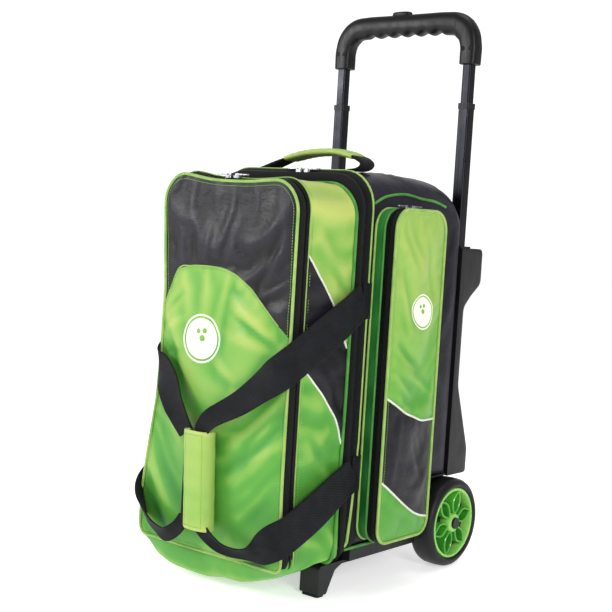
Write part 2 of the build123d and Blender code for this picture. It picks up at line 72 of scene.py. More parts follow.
# ---------------------------------------------------------------- materials
class Shader:
    """A principled material with short calls for its nodes."""

    def __init__(self, name, **sockets):
        self.material = bpy.data.materials.new(name)
        self.material.use_nodes = True
        self.tree = self.material.node_tree
        self.bsdf = self.tree.nodes["Principled BSDF"]
        for key, value in sockets.items():
            self.bsdf.inputs[key.replace("_", " ")].default_value = value
        self.place = self.tree.nodes.new("ShaderNodeTexCoord").outputs["Object"]

    def node(self, kind, *values, out=0, **settings):
        made = self.tree.nodes.new("ShaderNode" + kind)
        for key, value in settings.items():
            setattr(made, key, value)
        for index, value in enumerate(values):
            if value is None:
                continue
            if isinstance(value, bpy.types.NodeSocket):
                self.tree.links.new(value, made.inputs[index])
            else:
                made.inputs[index].default_value = value
        return made.outputs[out]

    def maths(self, operation, *values):
        return self.node("Math", *values, operation=operation)

    def dot(self, direction):
        return self.node("VectorMath", self.place, direction, out="Value", operation="DOT_PRODUCT")

    def noise(self, scale, detail=2.0, rough=0.5, stretch=None):
        vector = self.place
        if stretch:
            vector = self.node("VectorMath", self.place, stretch, operation="MULTIPLY")
        return self.node("TexNoise", vector, None, scale, detail, rough, out="Fac")

    def spread(self, value, low, high, to_low=0.0, to_high=1.0):
        return self.node("MapRange", value, low, high, to_low, to_high)

    def blend(self, share, first, second):
        """Two colours mixed; a colour mix's own sockets are 6 and 7."""
        return self.node("Mix", share, *[None] * 5, first, second, out=2, data_type="RGBA")

    def attribute(self, name):
        return self.node("Attribute", out="Fac", attribute_name=name)

    def wave(self, direction, period_mm):
        turns = self.maths("MULTIPLY", self.dot(direction), 2000 * math.pi / period_mm)
        return self.maths("SINE", turns)

    def bump(self, height, strength, depth_mm, under=None):
        made = self.tree.nodes.new("ShaderNodeBump")
        made.inputs["Strength"].default_value = strength
        made.inputs["Distance"].default_value = depth_mm / 1000
        self.tree.links.new(height, made.inputs["Height"])
        if under is not None:
            self.tree.links.new(under, made.inputs["Normal"])
        return made.outputs["Normal"]

    def finish(self, colour=None, normal=None, rough=None):
        for key, socket in (("Base Color", colour), ("Normal", normal), ("Roughness", rough)):
            if socket is not None:
                self.tree.links.new(socket, self.bsdf.inputs[key])
        return self.material


def rgb(*values):
    """sRGB 0 to 255 to linear, with alpha."""
    shares = [v / 255 for v in values]
    return tuple(s / 12.92 if s <= 0.04045 else ((s + 0.055) / 1.055) ** 2.4 for s in shares) + (1.0,)


# Each trio holds a painted shade, the cloth's own colour and a painted highlight; COAL's last tone is a
# purple-grey painted sheen.
LIME = (rgb(34, 122, 44), rgb(96, 164, 60), rgb(179, 193, 102))
FOREST = (rgb(8, 52, 18), rgb(18, 84, 30), rgb(44, 122, 48))
COAL = (rgb(5, 5, 7), rgb(13, 12, 17), rgb(38, 35, 47))
CREAM = rgb(238, 240, 222)


def nylon(name, tones, split=False, disc=None, top_light=(-0.4, 0.35)):
    """Satin pack cloth in one colour, or green and black with the border where "tone" is 0. Its colour holds
    painted shade in the folds' valleys, painted highlight on their ridges and, on the greens, painted light
    towards the top.
    """
    dark = tones is COAL
    s = Shader(name, Roughness=0.42, Sheen_Weight=0.0 if dark else 0.03, Sheen_Roughness=0.4,
               Specular_IOR_Level=0.17 if dark else 0.3)
    cloud = s.noise(9.0, 3.0, 0.55, (1.0, 1.0, 0.7))
    # Painted light: the greens turn lighter towards the top of the bag.
    height = s.spread(s.dot((0, 0, 1)), 0.1, 0.5, *top_light)
    # Painted shade in the folds' valleys and painted highlight on their ridges, from the "fold" mark, with a
    # random cloud of tone added.
    crease_shade = s.spread(s.attribute("fold"), -1.0, 1.0, -0.5, 0.5)
    fold = s.maths("ADD", crease_shade, s.spread(cloud, 0.3, 0.7, -0.16, 0.16))
    painted_light_level = s.maths("ADD", fold, height)

    def shaded(trio, level):
        deep, middle, light = trio
        return s.blend(s.spread(level, -0.2, 0.8), s.blend(s.spread(level, -1.0, 0.0), deep, middle), light)

    colour = shaded(tones, fold if dark else painted_light_level)
    if split:
        colour = s.blend(s.maths("GREATER_THAN", s.attribute("tone"), 0.0), colour, shaded(COAL, fold))
    if disc:
        plane, centre, radius = disc
        flat = s.node("VectorMath", s.place, plane, operation="MULTIPLY")

        def inside(middle, reach):
            gap = s.node("VectorMath", flat, middle, out="Value", operation="DISTANCE")
            return s.maths("LESS_THAN", gap, reach)

        across = Vector((0, 1, 0)) if plane[0] == 0 else Vector((1, 0, 0))
        middle = Vector(centre)
        printed = inside(middle, radius)
        for side, rise, size in ((-0.17, 0.36, 0.13), (0.2, 0.4, 0.13), (0.06, 0.02, 0.16)):
            hole = inside(middle + across * side * radius + Vector((0, 0, rise * radius)), size * radius)
            printed = s.maths("SUBTRACT", printed, hole)
        ring = s.maths("SUBTRACT", inside(middle, radius * 1.2), inside(middle, radius * 1.11))
        colour = s.blend(s.maths("ADD", printed, ring), colour, CREAM)
    weave = s.maths("MULTIPLY", s.wave((0.9, 0.55, 0.1), 1.3), s.wave((0.05, 0.5, 1.0), 1.3))
    crease = s.noise(26.0, 4.0, 0.55, (1.0, 1.0, 1.6))
    pucker = s.noise(70.0, 3.0, 0.6, (1.0, 1.0, 0.5))
    normal = s.bump(weave, 0.12, 0.15, s.bump(crease, 0.6, 3.0, s.bump(pucker, 0.22, 1.0)))
    return s.finish(colour, normal, s.spread(s.noise(30.0), 0.3, 0.7, 0.36, 0.5))


def tape(name, colour, light, period=1.6, rough=0.75):
    """Ribbed woven tape, webbing or covered cord."""
    s = Shader(name, Roughness=rough, Sheen_Weight=0.03, Sheen_Roughness=0.5, Specular_IOR_Level=0.18)
    rib = s.maths("MULTIPLY", s.wave((1.0, 0.7, 0.7), period), s.wave((-0.8, -0.5, 1.0), period))
    shade = s.maths("ADD", s.spread(rib, -1, 1, 0.0, 0.45), s.spread(s.noise(60.0, 3), 0.3, 0.7, 0.0, 0.55))
    return s.finish(s.blend(shade, colour, light), s.bump(rib, 0.55, 0.5, s.bump(s.noise(900.0), 0.25, 0.2)))


def plastic(name, colour, light, rough, grain=0.25, coat=0.0):
    """Moulded plastic or rubber with a fine grain and rubbed patches."""
    s = Shader(name, Roughness=rough, Coat_Weight=coat, Specular_IOR_Level=0.28)
    patch = s.spread(s.noise(14.0, 4, 0.6), 0.35, 0.7)
    fine = s.noise(1400.0, 2.0)
    marks = s.spread(s.noise(240.0, 3, 0.6, (1, 1, 0.15)), 0.4, 0.75, rough - 0.07, rough + 0.08)
    return s.finish(s.blend(patch, colour, light), s.bump(fine, grain, 0.12), marks)


def metal(name, colour, light, rough, metallic=1.0):
    """Drawn metal with fine lines along its height."""
    s = Shader(name, Roughness=rough, Metallic=metallic)
    line = s.noise(420.0, 3, 0.6, (1, 1, 0.02))
    return s.finish(s.blend(s.spread(line, 0.3, 0.7), colour, light), s.bump(line, 0.08, 0.05),
                    s.spread(s.noise(25.0, 3), 0.3, 0.7, rough - 0.06, rough + 0.1))


EMBLEM_FRONT = ((1, 0, 1), (spot(-31, 0, 324)[0], 0, 0.324), 0.0265)
EMBLEM_POCKET = ((0, 1, 1), (0, spot(0, -11, 0)[1], 0.373), 0.0195)
looks = {
    "lid": nylon("lid_nylon", LIME, split=True, disc=EMBLEM_FRONT),
    "pocket": nylon("pocket_nylon", LIME, split=True, disc=EMBLEM_POCKET),
    "door": nylon("door_nylon", LIME, split=True),
    "green": nylon("green_nylon", LIME),
    # The wrap gets one even lift over its whole height in place of the painted top light.
    "wrap": nylon("wrap_nylon", LIME, top_light=(0.26, 0.26)),
    "black": nylon("black_nylon", COAL),
    "zipper": tape("zipper_tape", rgb(7, 7, 9), rgb(18, 18, 21), 1.2),
    "coil": plastic("zipper_coil", rgb(8, 8, 10), rgb(24, 24, 27), 0.45),
    "webbing": tape("webbing", rgb(3, 4, 5), rgb(25, 26, 31), 3.6, 0.7),
    "cord": tape("edge_cord", rgb(116, 176, 78), rgb(186, 208, 120), 1.1, 0.5),
    "cord_dark": tape("edge_cord_dark", rgb(44, 132, 54), rgb(104, 172, 74), 1.1, 0.5),
    "cord_cream": tape("edge_cord_cream", rgb(226, 228, 204), rgb(248, 250, 238), 1.1, 0.5),
    "thread": tape("thread_green", rgb(96, 170, 70), rgb(160, 208, 96), 0.8, 0.6),
    "thread_black": tape("thread_black", rgb(16, 16, 19), rgb(40, 40, 46), 0.8, 0.6),
    "dark_green": nylon("gusset_nylon", FOREST),
    "foam": tape("foam_lining", rgb(38, 38, 42), rgb(70, 70, 76), 3.0, 0.9),
    "moulded": plastic("moulded_black", rgb(10, 10, 12), rgb(22, 23, 26), 0.46, 0.5),
    "grip": plastic("grip_black", rgb(5, 5, 7), rgb(14, 15, 17), 0.44, 0.35),
    "tube": metal("tube_black", rgb(12, 12, 15), rgb(38, 39, 46), 0.3, 0.75),
    "steel": metal("plated_steel", rgb(112, 112, 117), rgb(186, 186, 191), 0.3),
    "hub": plastic("wheel_green", rgb(44, 138, 34), rgb(92, 184, 54), 0.28, 0.1, 0.4),
    # Painted highlight: the hub's rim and boss are a lighter green, as where their edges catch the light.
    "hub_highlight": plastic("wheel_green_highlight", rgb(112, 190, 74), rgb(160, 212, 108), 0.3, 0.1, 0.3),
    # Painted shade: the recessed web between the spokes is a much darker green.
    "hub_shade": plastic("wheel_green_shade", rgb(6, 62, 24), rgb(16, 96, 36), 0.45, 0.1),
    "tyre": plastic("tyre", rgb(10, 10, 11), rgb(24, 24, 26), 0.5, 0.4),
    "rubber": plastic("foot_rubber", rgb(10, 10, 10), rgb(24, 24, 24), 0.7, 0.6),
}


# ---------------------------------------------------------------- mesh helpers
def piece(name, points, faces, look, body, stands_for=(), smooth=True):
    """A new piece from millimetre points, riding on a body."""
    mesh = bpy.data.meshes.new(name)
    mesh.from_pydata([tuple(p) for p in at(points)], [], [tuple(int(i) for i in f) for f in faces])
    mesh.validate()
    mesh.materials.append(looks[look])
    mesh.polygons.foreach_set("use_smooth", [smooth] * len(mesh.polygons))
    obj = bpy.data.objects.new(name, mesh)
    bpy.context.scene.collection.objects.link(obj)
    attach(obj, body)
    if stands_for:
        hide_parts(*stands_for)
    return obj


def modify(obj, kind, **settings):
    """Add a modifier and apply it at once."""
    made = obj.modifiers.new(kind.lower(), kind)
    for key, value in settings.items():
        setattr(made, key, value)
    baked = bpy.data.meshes.new_from_object(obj.evaluated_get(bpy.context.evaluated_depsgraph_get()))
    obj.modifiers.clear()
    old, obj.data = obj.data, baked
    baked.name = obj.name
    bpy.data.meshes.remove(old)
    return obj


def outward(obj):
    """Turns every face of a closed piece outwards."""
    made = bmesh.new()
    made.from_mesh(obj.data)
    bmesh.ops.recalc_face_normals(made, faces=made.faces)
    made.to_mesh(obj.data)
    made.free()
    return obj


def thicken(obj, thickness, face, outside):
    """Gives a skin its thickness on the inner side, told by one face and where outside is for it."""
    inwards = obj.data.polygons[face].normal.dot(Vector(outside)) < 0
    modify(obj, "SOLIDIFY", thickness=thickness, offset=1.0 if inwards else -1.0)
    return outward(obj)


def mark(obj, name, values):
    """Stores a number per point, for the materials."""
    found = obj.data.attributes.get(name) or obj.data.attributes.new(name, "FLOAT", "POINT")
    found.data.foreach_set("value", np.asarray(values, np.float32))


def spots(obj):
    """The points of a piece, back in millimetres."""
    co = np.zeros(len(obj.data.vertices) * 3, np.float32)
    obj.data.vertices.foreach_get("co", co)
    return back_to_mm(co)


def put(obj, points):
    obj.data.vertices.foreach_set("co", at(points).astype(np.float32).ravel())
    obj.data.update()


def lattice(rows, columns, round_columns=False, round_rows=False):
    """Faces of a grid of points given row by row."""
    faces = []
    for r in range(rows if round_rows else rows - 1):
        for c in range(columns if round_columns else columns - 1):
            d, e = (c + 1) % columns, (r + 1) % rows
            faces.append((r * columns + c, r * columns + d, e * columns + d, e * columns + c))
    return faces


def loft(loops, closed=True, caps=False):
    """Points and faces of a skin through loops of equal count."""
    points = np.concatenate(loops)
    n = len(loops[0])
    faces = lattice(len(loops), n, round_columns=closed)
    if caps:
        faces.append(tuple(range(n))[::-1])
        faces.append(tuple(range(len(points) - n, len(points))))
    return points, faces


def smooth_line(points, per=8):
    """Catmull-Rom through points of any number of values."""
    p = np.asarray(points, float)
    last = len(p) - 1
    out = []
    for i in range(last):
        a, b, c, d = p[max(i - 1, 0)], p[i], p[i + 1], p[min(i + 2, last)]
        for t in np.arange(per) / per:
            out.append(0.5 * (2 * b + (c - a) * t + (2 * a - 5 * b + 4 * c - d) * t * t
                              + (3 * b - a - 3 * c + d) * t ** 3))
    out.append(p[-1])
    return np.array(out)


def even_line(points, step, closed=False):
    """The same line with points a step apart."""
    p = np.asarray(points, float)
    if closed:
        p = np.vstack([p, p[:1]])
    run = np.concatenate([[0], np.cumsum(np.linalg.norm(np.diff(p, axis=0), axis=1))])
    count = max(2, int(round(run[-1] / step)))
    marks = np.linspace(0, run[-1], count + (0 if closed else 1), endpoint=not closed)
    return np.column_stack([np.interp(marks, run, p[:, k]) for k in range(3)])


def directions(line, closed):
    """Unit directions along a line, point by point."""
    if closed:
        ahead = np.roll(line, -1, axis=0) - np.roll(line, 1, axis=0)
    else:
        ahead = np.gradient(line, axis=0)
    return ahead / np.maximum(np.linalg.norm(ahead, axis=1, keepdims=True), 1e-9)


def around(count):
    """Angles evenly spaced over a full turn."""
    return np.linspace(0, 2 * math.pi, count, endpoint=False)


def squared(values, power):
    """Sines or cosines bent so that their circle turns squarish, keeping their sign."""
    return np.sign(values) * np.abs(values) ** power


def cord(name, line, radius, look, body, closed=False, stands_for=(), step=4.0):
    """Covered edge cord sewn along a line."""
    line = even_line(line, step, closed)
    a = around(10)
    across_by, out_by = (radius * np.cos(a))[:, None], (radius * np.sin(a))[:, None]
    normal = None
    loops = []
    for centre, tangent in zip(line, directions(line, closed)):
        if normal is None:
            normal = np.array([0, 0, 1.0]) if abs(tangent[2]) < 0.8 else np.array([1.0, 0, 0])
        across = np.cross(tangent, normal)
        across /= max(np.linalg.norm(across), 1e-9)
        normal = np.cross(across, tangent)
        loops.append(centre + across_by * across + out_by * normal)
    points = np.concatenate(loops)
    faces = lattice(len(loops), 10, True, closed)
    if not closed:
        faces += [tuple(range(10))[::-1], tuple(range(len(points) - 10, len(points)))]
    return outward(piece(name, points, faces, look, body, stands_for))


def blocks(name, places, size, look, body):
    """Many small rounded-off blocks as one piece: stitches or zipper teeth."""
    points, faces = [], []
    w, d, h = (s / 2 for s in size)
    for centre, ahead, out in places:
        side = np.cross(out, ahead)
        start = len(points)
        for level, scale in ((-1.0, 1.0), (0.35, 1.0), (1.0, 0.75)):
            for sx, sy in ((-1, -1), (1, -1), (1, 1), (-1, 1)):
                corner = np.asarray(centre) + ahead * sx * w * scale + side * sy * d * scale
                points.append(corner + out * h * level)
        for ring in (0, 4):
            for k in range(4):
                a, b = start + ring + k, start + ring + (k + 1) % 4
                faces.append((a, b, b + 4, a + 4))
        faces.append((start + 3, start + 2, start + 1, start))
        faces.append((start + 8, start + 9, start + 10, start + 11))
    return piece(name, points, faces, look, body, smooth=False)


def stitches(name, places, body, look="thread", size=(2.4, 0.6, 0.5)):
    """A seam's stitches, each a block of length, width and height."""
    return blocks(name, places, size, look, body)


def join(points, faces, part):
    """Adds one closed part's points and faces to a piece that holds several."""
    more, its = part
    faces += [tuple(i + len(points) for i in face) for face in its]
    points += [tuple(q) for q in more]


def along(line, step, outs, shift=0.0, lift=0.0, closed=False):
    """Places for blocks along a line, each with its direction and its outward side (fixed or a function)."""
    line = even_line(line, step, closed)
    ahead = directions(line, closed)
    found = []
    for p, t in zip(line, ahead):
        out = np.asarray(outs(p) if callable(outs) else outs, float)
        out = out - t * np.dot(out, t)
        out /= max(np.linalg.norm(out), 1e-9)
        side = np.cross(out, t)
        found.append((p + side * shift + out * lift, t, out))
    return found


def surface(obj):
    """A piece's skin, to lay seams on."""
    return BVHTree.FromObject(obj, bpy.context.evaluated_depsgraph_get())


def pressed(tree, points, direction, lift=0.0, reach=60.0):
    """Points moved along a direction onto a surface, in millimetres."""
    toward = Vector(direction).normalized()
    found = []
    for p in np.asarray(points, float):
        start = Vector(spot(*p)) - toward * reach / 1000
        hit, normal, _, _ = tree.ray_cast(start, toward)
        if hit is None:
            found.append(p)
            continue
        found.append((np.array(hit) - ORIGIN) * 1000.0 - np.array(toward) * lift)
    return np.array(found)


# ---------------------------------------------------------------- cloth
def drape(obj, pins, grow, pressure, frames=16, cap=5.0, soften=3):
    """Lets a fabric piece buckle between its seams, and keeps the result in its mesh, softened.

    pins holds each point from 0 free to 1 fast, and cap is how far in mm a point may move."""
    before = spots(obj)
    group = obj.vertex_groups.new(name="seams")
    for index in np.flatnonzero(np.asarray(pins) > 0):
        group.add([int(index)], float(pins[index]), "REPLACE")
    cloth = obj.modifiers.new("cloth", "CLOTH")
    rules = cloth.settings
    rules.quality = 5
    rules.mass = 0.12
    rules.tension_stiffness = rules.compression_stiffness = rules.shear_stiffness = 12.0
    rules.bending_stiffness = 0.4
    rules.air_damping = 3
    rules.vertex_group_mass = "seams"
    rules.shrink_min = rules.shrink_max = -grow
    rules.use_pressure = True
    rules.uniform_pressure_force = pressure
    rules.effector_weights.gravity = 0.25
    cloth.collision_settings.use_collision = False
    cloth.point_cache.frame_end = frames
    for number in range(1, frames + 1):
        bpy.context.scene.frame_set(number)
    settled = obj.evaluated_get(bpy.context.evaluated_depsgraph_get()).data
    co = np.zeros(len(settled.vertices) * 3, np.float32)
    settled.vertices.foreach_get("co", co)
    obj.modifiers.clear()
    step = back_to_mm(co) - before
    size = np.linalg.norm(step, axis=1, keepdims=True)
    step *= cap * np.tanh(size / cap) / np.maximum(size, 1e-9)
    free = 1 - np.asarray(pins, float)[:, None]
    for _ in range(soften):
        step += (averaged(obj, step) - step) * 0.5 * free
    put(obj, before + step)
    bpy.context.scene.frame_set(1)
    return before


def averaged(obj, values):
    """Each point's value replaced by the mean of its neighbours'."""
    edges = np.array([e.vertices[:] for e in obj.data.edges])
    total, count = np.zeros_like(values), np.zeros(len(values))
    np.add.at(total, edges[:, 0], values[edges[:, 1]])
    np.add.at(total, edges[:, 1], values[edges[:, 0]])
    np.add.at(count, edges.ravel(), 1)
    return total / np.maximum(count, 1)[:, None]


def mark_fold_shade(obj, scale=1.6, passes=24, out=None):
    """Marks ridges and valleys of a skin as painted highlight and painted shade for its colour, out being a
    flat one's outward side.
    """
    now = spots(obj)
    level = now.copy()
    for _ in range(passes):
        level = 0.5 * level + 0.5 * averaged(obj, level)
    normals = np.zeros(len(now) * 3, np.float32)
    obj.data.vertices.foreach_get("normal", normals)
    normals = normals.reshape(-1, 3)
    side = now - now.mean(axis=0) if out is None else np.asarray(out, float)
    if (side * normals).sum() < 0:
        normals = -normals
    height = ((now - level) * normals).sum(axis=1)
    mark(obj, "fold", np.clip(height / scale, -1, 1))


def ridge(a, b, ax, ay, bx, by, width, height):
    """Height of one soft fold running from ax, ay to bx, by in a panel's plane."""
    dx, dy = bx - ax, by - ay
    length = math.hypot(dx, dy)
    t = np.clip(((a - ax) * dx + (b - ay) * dy) / length ** 2, 0, 1)
    gap = np.hypot(a - (ax + t * dx), b - (ay + t * dy))
    return height * np.exp(-(gap / width) ** 2) * (0.35 + 0.65 * np.sin(math.pi * np.clip(t, 0.02, 0.98)))


# ---------------------------------------------------------------- outlines
NB, NC, NS, NT = 12, 8, 60, 24
FIRST = NB + NC // 2
LEFT_SIDE = NB + NC + NS + NC + NT + NC // 2
FORWARD = (0, -1, 0)
SIDES = (("right", 1), ("left", -1))


def outline(left, right, bottom, top, r_top, r_bottom):
    """Closed rounded outline from the bottom's middle, up the right side and round."""
    points = []

    def run(a, b, count):
        for k in range(count):
            points.append((a[0] + (b[0] - a[0]) * k / count, a[1] + (b[1] - a[1]) * k / count))

    def turn(cx, cz, r, start):
        for k in range(NC):
            a = math.radians(start + 90 * k / NC)
            points.append((cx + r * math.cos(a), cz + r * math.sin(a)))

    run((0, bottom), (right - r_bottom, bottom), NB)
    turn(right - r_bottom, bottom + r_bottom, r_bottom, -90)
    run((right, bottom + r_bottom), (right, top - r_top), NS)
    turn(right - r_top, top - r_top, r_top, 0)
    run((right - r_top, top), (left + r_top, top), NT)
    turn(left + r_top, top - r_top, r_top, 90)
    run((left, top - r_top), (left, bottom + r_bottom), NS)
    turn(left + r_bottom, bottom + r_bottom, r_bottom, 180)
    run((left + r_bottom, bottom), (0, bottom), NB)
    return np.array(points)


LEFT_Z = [20, 31, 63, 105, 161, 234, 302, 340, 387, 433, 506, 530]
LEFT_OUT = [6, 14, 21, 21, 13, 1, -3, -4, -5, -1, 4, 4]
SAG_X = [-128, -112, -81, -15, 41, 91, 112, 125]
SAG_DOWN = [6, 24, 34, 37, 30, 14, 4, 0]


def crown(x, z):
    """How far the front section's two top corners stand above the middle of its top edge."""
    lift = 8.0 * np.exp(-((x + 85) / 40) ** 2) + 3.5 * np.exp(-((x - 78) / 32) ** 2)
    return lift * np.clip((z - 440) / 90, 0, 1)


def slump(points, share=1.0):
    """The front section's own slouch: its left side bulges low down, its right a little."""
    x, z = points[:, 0], points[:, 1]
    left = np.interp(z, LEFT_Z, LEFT_OUT) * np.clip(-x / 70, 0, 1)
    right = 5 * np.exp(-((z - 62) / 50) ** 2) * np.clip(x / 90, 0, 1)
    return np.column_stack([x + share * (right - left), z + share * crown(x, z)])


def standing(points, y):
    """An outline in x, z stood up at depth y, which may differ point by point."""
    return np.column_stack([points[:, 0], np.broadcast_to(y, len(points)), points[:, 1]])


def front_outline(y, grow=0.0):
    """The front section's outline anywhere between its lid and its back edge."""
    t = min(1.0, max(0.0, (y + 190) / 78))
    half, top, radius = 114 + 11 * t + grow, 532 - t + grow, 38 + 6 * t
    points = outline(-half, half, 47 - grow, top, radius, 10)
    return slump(points, 1 - 0.55 * t)


ARCH_X = [-125, -112, -98, -83, -56, -20, 9, 38, 59, 82, 111, 125]
ARCH_Z = [330, 352, 381, 411, 417.5, 418, 415, 403, 386, 362, 338, 325]
SIDE_UP = ([-200, -197, -172, -137, -116, -99], [456, 452, 418, 368, 328, 300])
SIDE_LOW = ([-215, -182, -158, -130, -117, -100], [322, 295, 269, 235, 207, 170])
POCKET_UP = ([-90, -69, -36, 0, 30, 50], [271, 259, 240, 228, 226, 226])
POCKET_LOW = ([-90, -73, -42, -9, 24, 50], [163, 151, 128, 106, 94, 90])


def beside(seam, x, ys):
    """A curved seam given by heights over depths, drawn beside the bag at x."""
    line = np.column_stack([np.full(len(ys), x), ys, np.interp(ys, *seam)])
    return smooth_line(line[::5], 5)


def panel(rows, columns, left_of, right_of, bottom, top, r_bottom, r_top):
    """Grid over an upright panel with rounded corners: a, b and the shares s, t."""
    low = [bottom + r_bottom * (1 - math.cos(a)) for a in np.linspace(0, math.pi / 2, 5)[:-1]]
    high = [top - r_top * (1 - math.cos(a)) for a in np.linspace(math.pi / 2, 0, 12)[1:]]
    levels = np.array(low + list(np.linspace(bottom + r_bottom, top - r_top, rows)) + high)
    s = np.linspace(0, 1, columns)
    a, b = [], []
    for z in levels:
        inset = 0.0
        if z > top - r_top:
            inset = r_top - math.sqrt(max(0.0, r_top ** 2 - (z - top + r_top) ** 2))
        elif z < bottom + r_bottom:
            inset = r_bottom - math.sqrt(max(0.0, r_bottom ** 2 - (bottom + r_bottom - z) ** 2))
        left, right = left_of(z) + inset, right_of(z) - inset
        a.append(left + (right - left) * s)
        b.append(np.full(columns, z))
    t = (levels - bottom) / (top - bottom)
    return np.concatenate(a), np.concatenate(b), np.tile(s, len(levels)), np.repeat(t, columns), len(levels)


def border(rows, columns):
    """True along a grid's four edges."""
    grid = np.zeros((rows, columns), bool)
    grid[0], grid[-1], grid[:, 0], grid[:, -1] = True, True, True, True
    return grid.ravel()


# ---------------------------------------------------------------- the lid: front panel
def lid_left(z):
    return -113 - float(np.interp(z, LEFT_Z, LEFT_OUT))


def lid_right(z):
    return 113 + 5 * math.exp(-((z - 62) / 50) ** 2)


def lid_panel():
    """The front panel: a bellied grid with listed folds, black above an arched seam and green below."""
    a, b, s, t, rows = panel(104, 58, lid_left, lid_right, 47, 528, 10, 36)
    rise = (1 - np.abs(2 * s - 1) ** 2.6) * (1 - np.abs(2 * t - 1) ** 5)
    belly = 5.5 + 4.5 * np.exp(-((b - 150) / 120) ** 2)
    y = -212.5 - belly * rise
    folds = [
        (108, 450, 28, 398, 7, 2.6), (112, 408, 62, 384, 5, 2.6), (104, 486, 45, 452, 9, 2.0),
        (-92, 428, -95, 470, 4, -2.2), (-72, 426, -78, 462, 4, 2.4), (-52, 426, -56, 466, 4.5, -2.2),
        (-30, 426, -28, 470, 5, 2.0), (-5, 424, 12, 480, 6, -2.0), (60, 400, 92, 470, 7, -2.2),
        (8, 384, 100, 332, 8, 3.2), (-2, 340, 106, 318, 8, 3.0), (20, 362, 96, 322, 6, -2.6),
        (-106, 330, -62, 350, 6, 2.4), (-108, 300, -66, 306, 6, -2.4), (-104, 352, -70, 382, 5, -2.0),
        (-6, 300, 30, 282, 6, 2.2), (34, 262, 108, 300, 9, 2.4), (66, 205, 100, 236, 7, 2.4),
        (60, 180, 108, 206, 5, 2.0), (-124, 214, -70, 190, 10, -2.6), (-118, 150, -64, 96, 16, 3.0),
        (34, 96, 92, 70, 12, -2.6), (40, 150, 86, 130, 14, 1.8), (-80, 262, -58, 226, 7, 2.2)]
    for fold in folds:
        y -= ridge(a, b, *fold) * np.clip(rise * 2.2, 0, 1)
    points = np.column_stack([a, y, b + crown(a, b)])
    obj = piece("lid_panel_cloth", points, lattice(rows, 58), "lid", "front_lid",
                ["lid_panel"])
    arc = np.interp(a, ARCH_X, ARCH_Z)
    near = np.exp(-((b - arc) / 2.6) ** 2)
    pins = np.maximum(border(rows, 58) * 1.0, near * 0.8 * (near > 0.3))
    drape(obj, pins, grow=0.022, pressure=0.25)
    mark_fold_shade(obj, 2.2, 40, (0, -1, 0))
    moved = spots(obj)
    mark(obj, "tone", moved[:, 2] - np.interp(moved[:, 0], ARCH_X, ARCH_Z))
    return thicken(obj, 0.003, len(obj.data.polygons) // 2, (0, -1, 0))


lid = lid_panel()
lid_tree = surface(lid)
lid_edge = slump(outline(-113, 113, 47, 528, 36, 10))
cord("lid_edge_cord", standing(lid_edge, -213.0), 2.0, "cord", "front_lid", closed=True,
     stands_for=["lid_piping"])

arch = np.array([(x, -250.0, z) for x, z in zip(np.linspace(-106, 112, 60),
                                                 np.interp(np.linspace(-106, 112, 60), ARCH_X, ARCH_Z))])
arch = smooth_line(pressed(lid_tree, smooth_line(arch[::6], 6), (0, 1, 0), 0.2)[::3], 3)
cord("lid_arch_welt", arch, 0.9, "cord", "front_lid", step=3.0)
low_arch = pressed(lid_tree, arch - np.array([0, 30, 3.2]), (0, 1, 0), 0.15)
stitches("lid_arch_stitches", along(low_arch, 3.6, FORWARD), "front_lid")
inner_edge = slump(outline(-107.5, 107.5, 53, 522, 31, 8))
inner_line = pressed(lid_tree, standing(inner_edge, -245.0), (0, 1, 0), 0.15)
stitches("lid_edge_stitches", along(inner_line, 3.6, FORWARD, closed=True), "front_lid",
         size=(2.4, 0.55, 0.5))


def strip(name, fronts, body, stands_for, first=FIRST):
    """A zipper band through outlines at several depths, open along the bottom."""
    loops = [standing(o, y) for o, y in fronts]
    count = len(loops[0])
    keep = range(first, count - first)
    loops = [loop[list(keep)] for loop in loops]
    points, faces = loft(loops, closed=False)
    obj = piece(name, points, faces, "zipper", body, stands_for)
    thicken(obj, 0.0025, 5, (1, 0, 0))


def lid_outline(grow):
    """The lid's outline, grown at its sides and top."""
    return slump(outline(-113 - grow, 113 + grow, 47, 528 + grow, 36, 10))


strip("lid_zipper_band_cloth", [(lid_outline(grow), y) for grow, y in
                                ((-0.5, -212.5), (1.2, -208), (1.6, -203), (0.6, -197.2))],
      "front_lid", ["lid_zipper_band"])
strip("shoe_zipper_tape_cloth", [(lid_outline(0.6), -196.4), (lid_outline(1.2), -193),
                                 (front_outline(-190, 0.2), -189)], "front_door", ["shoe_zipper_tape"])


def coil(name, line, body):
    """Zipper coil: two rows of small teeth lying side by side."""

    def out(p):
        return np.array([p[0], 0, max(-400, min(400, (p[2] - 330) * 0.35)) if p[2] < 480 else (p[2] - 420)])

    rows = along(line, 1.7, out, shift=0.9, lift=1.4) + along(line, 1.7, out, shift=-0.9, lift=1.4)
    blocks(name, rows, (1.1, 1.7, 1.3), "coil", body)


coil("shoe_zipper_coil", standing(lid_outline(0.8), -196.8)[FIRST:-FIRST], "front_door")


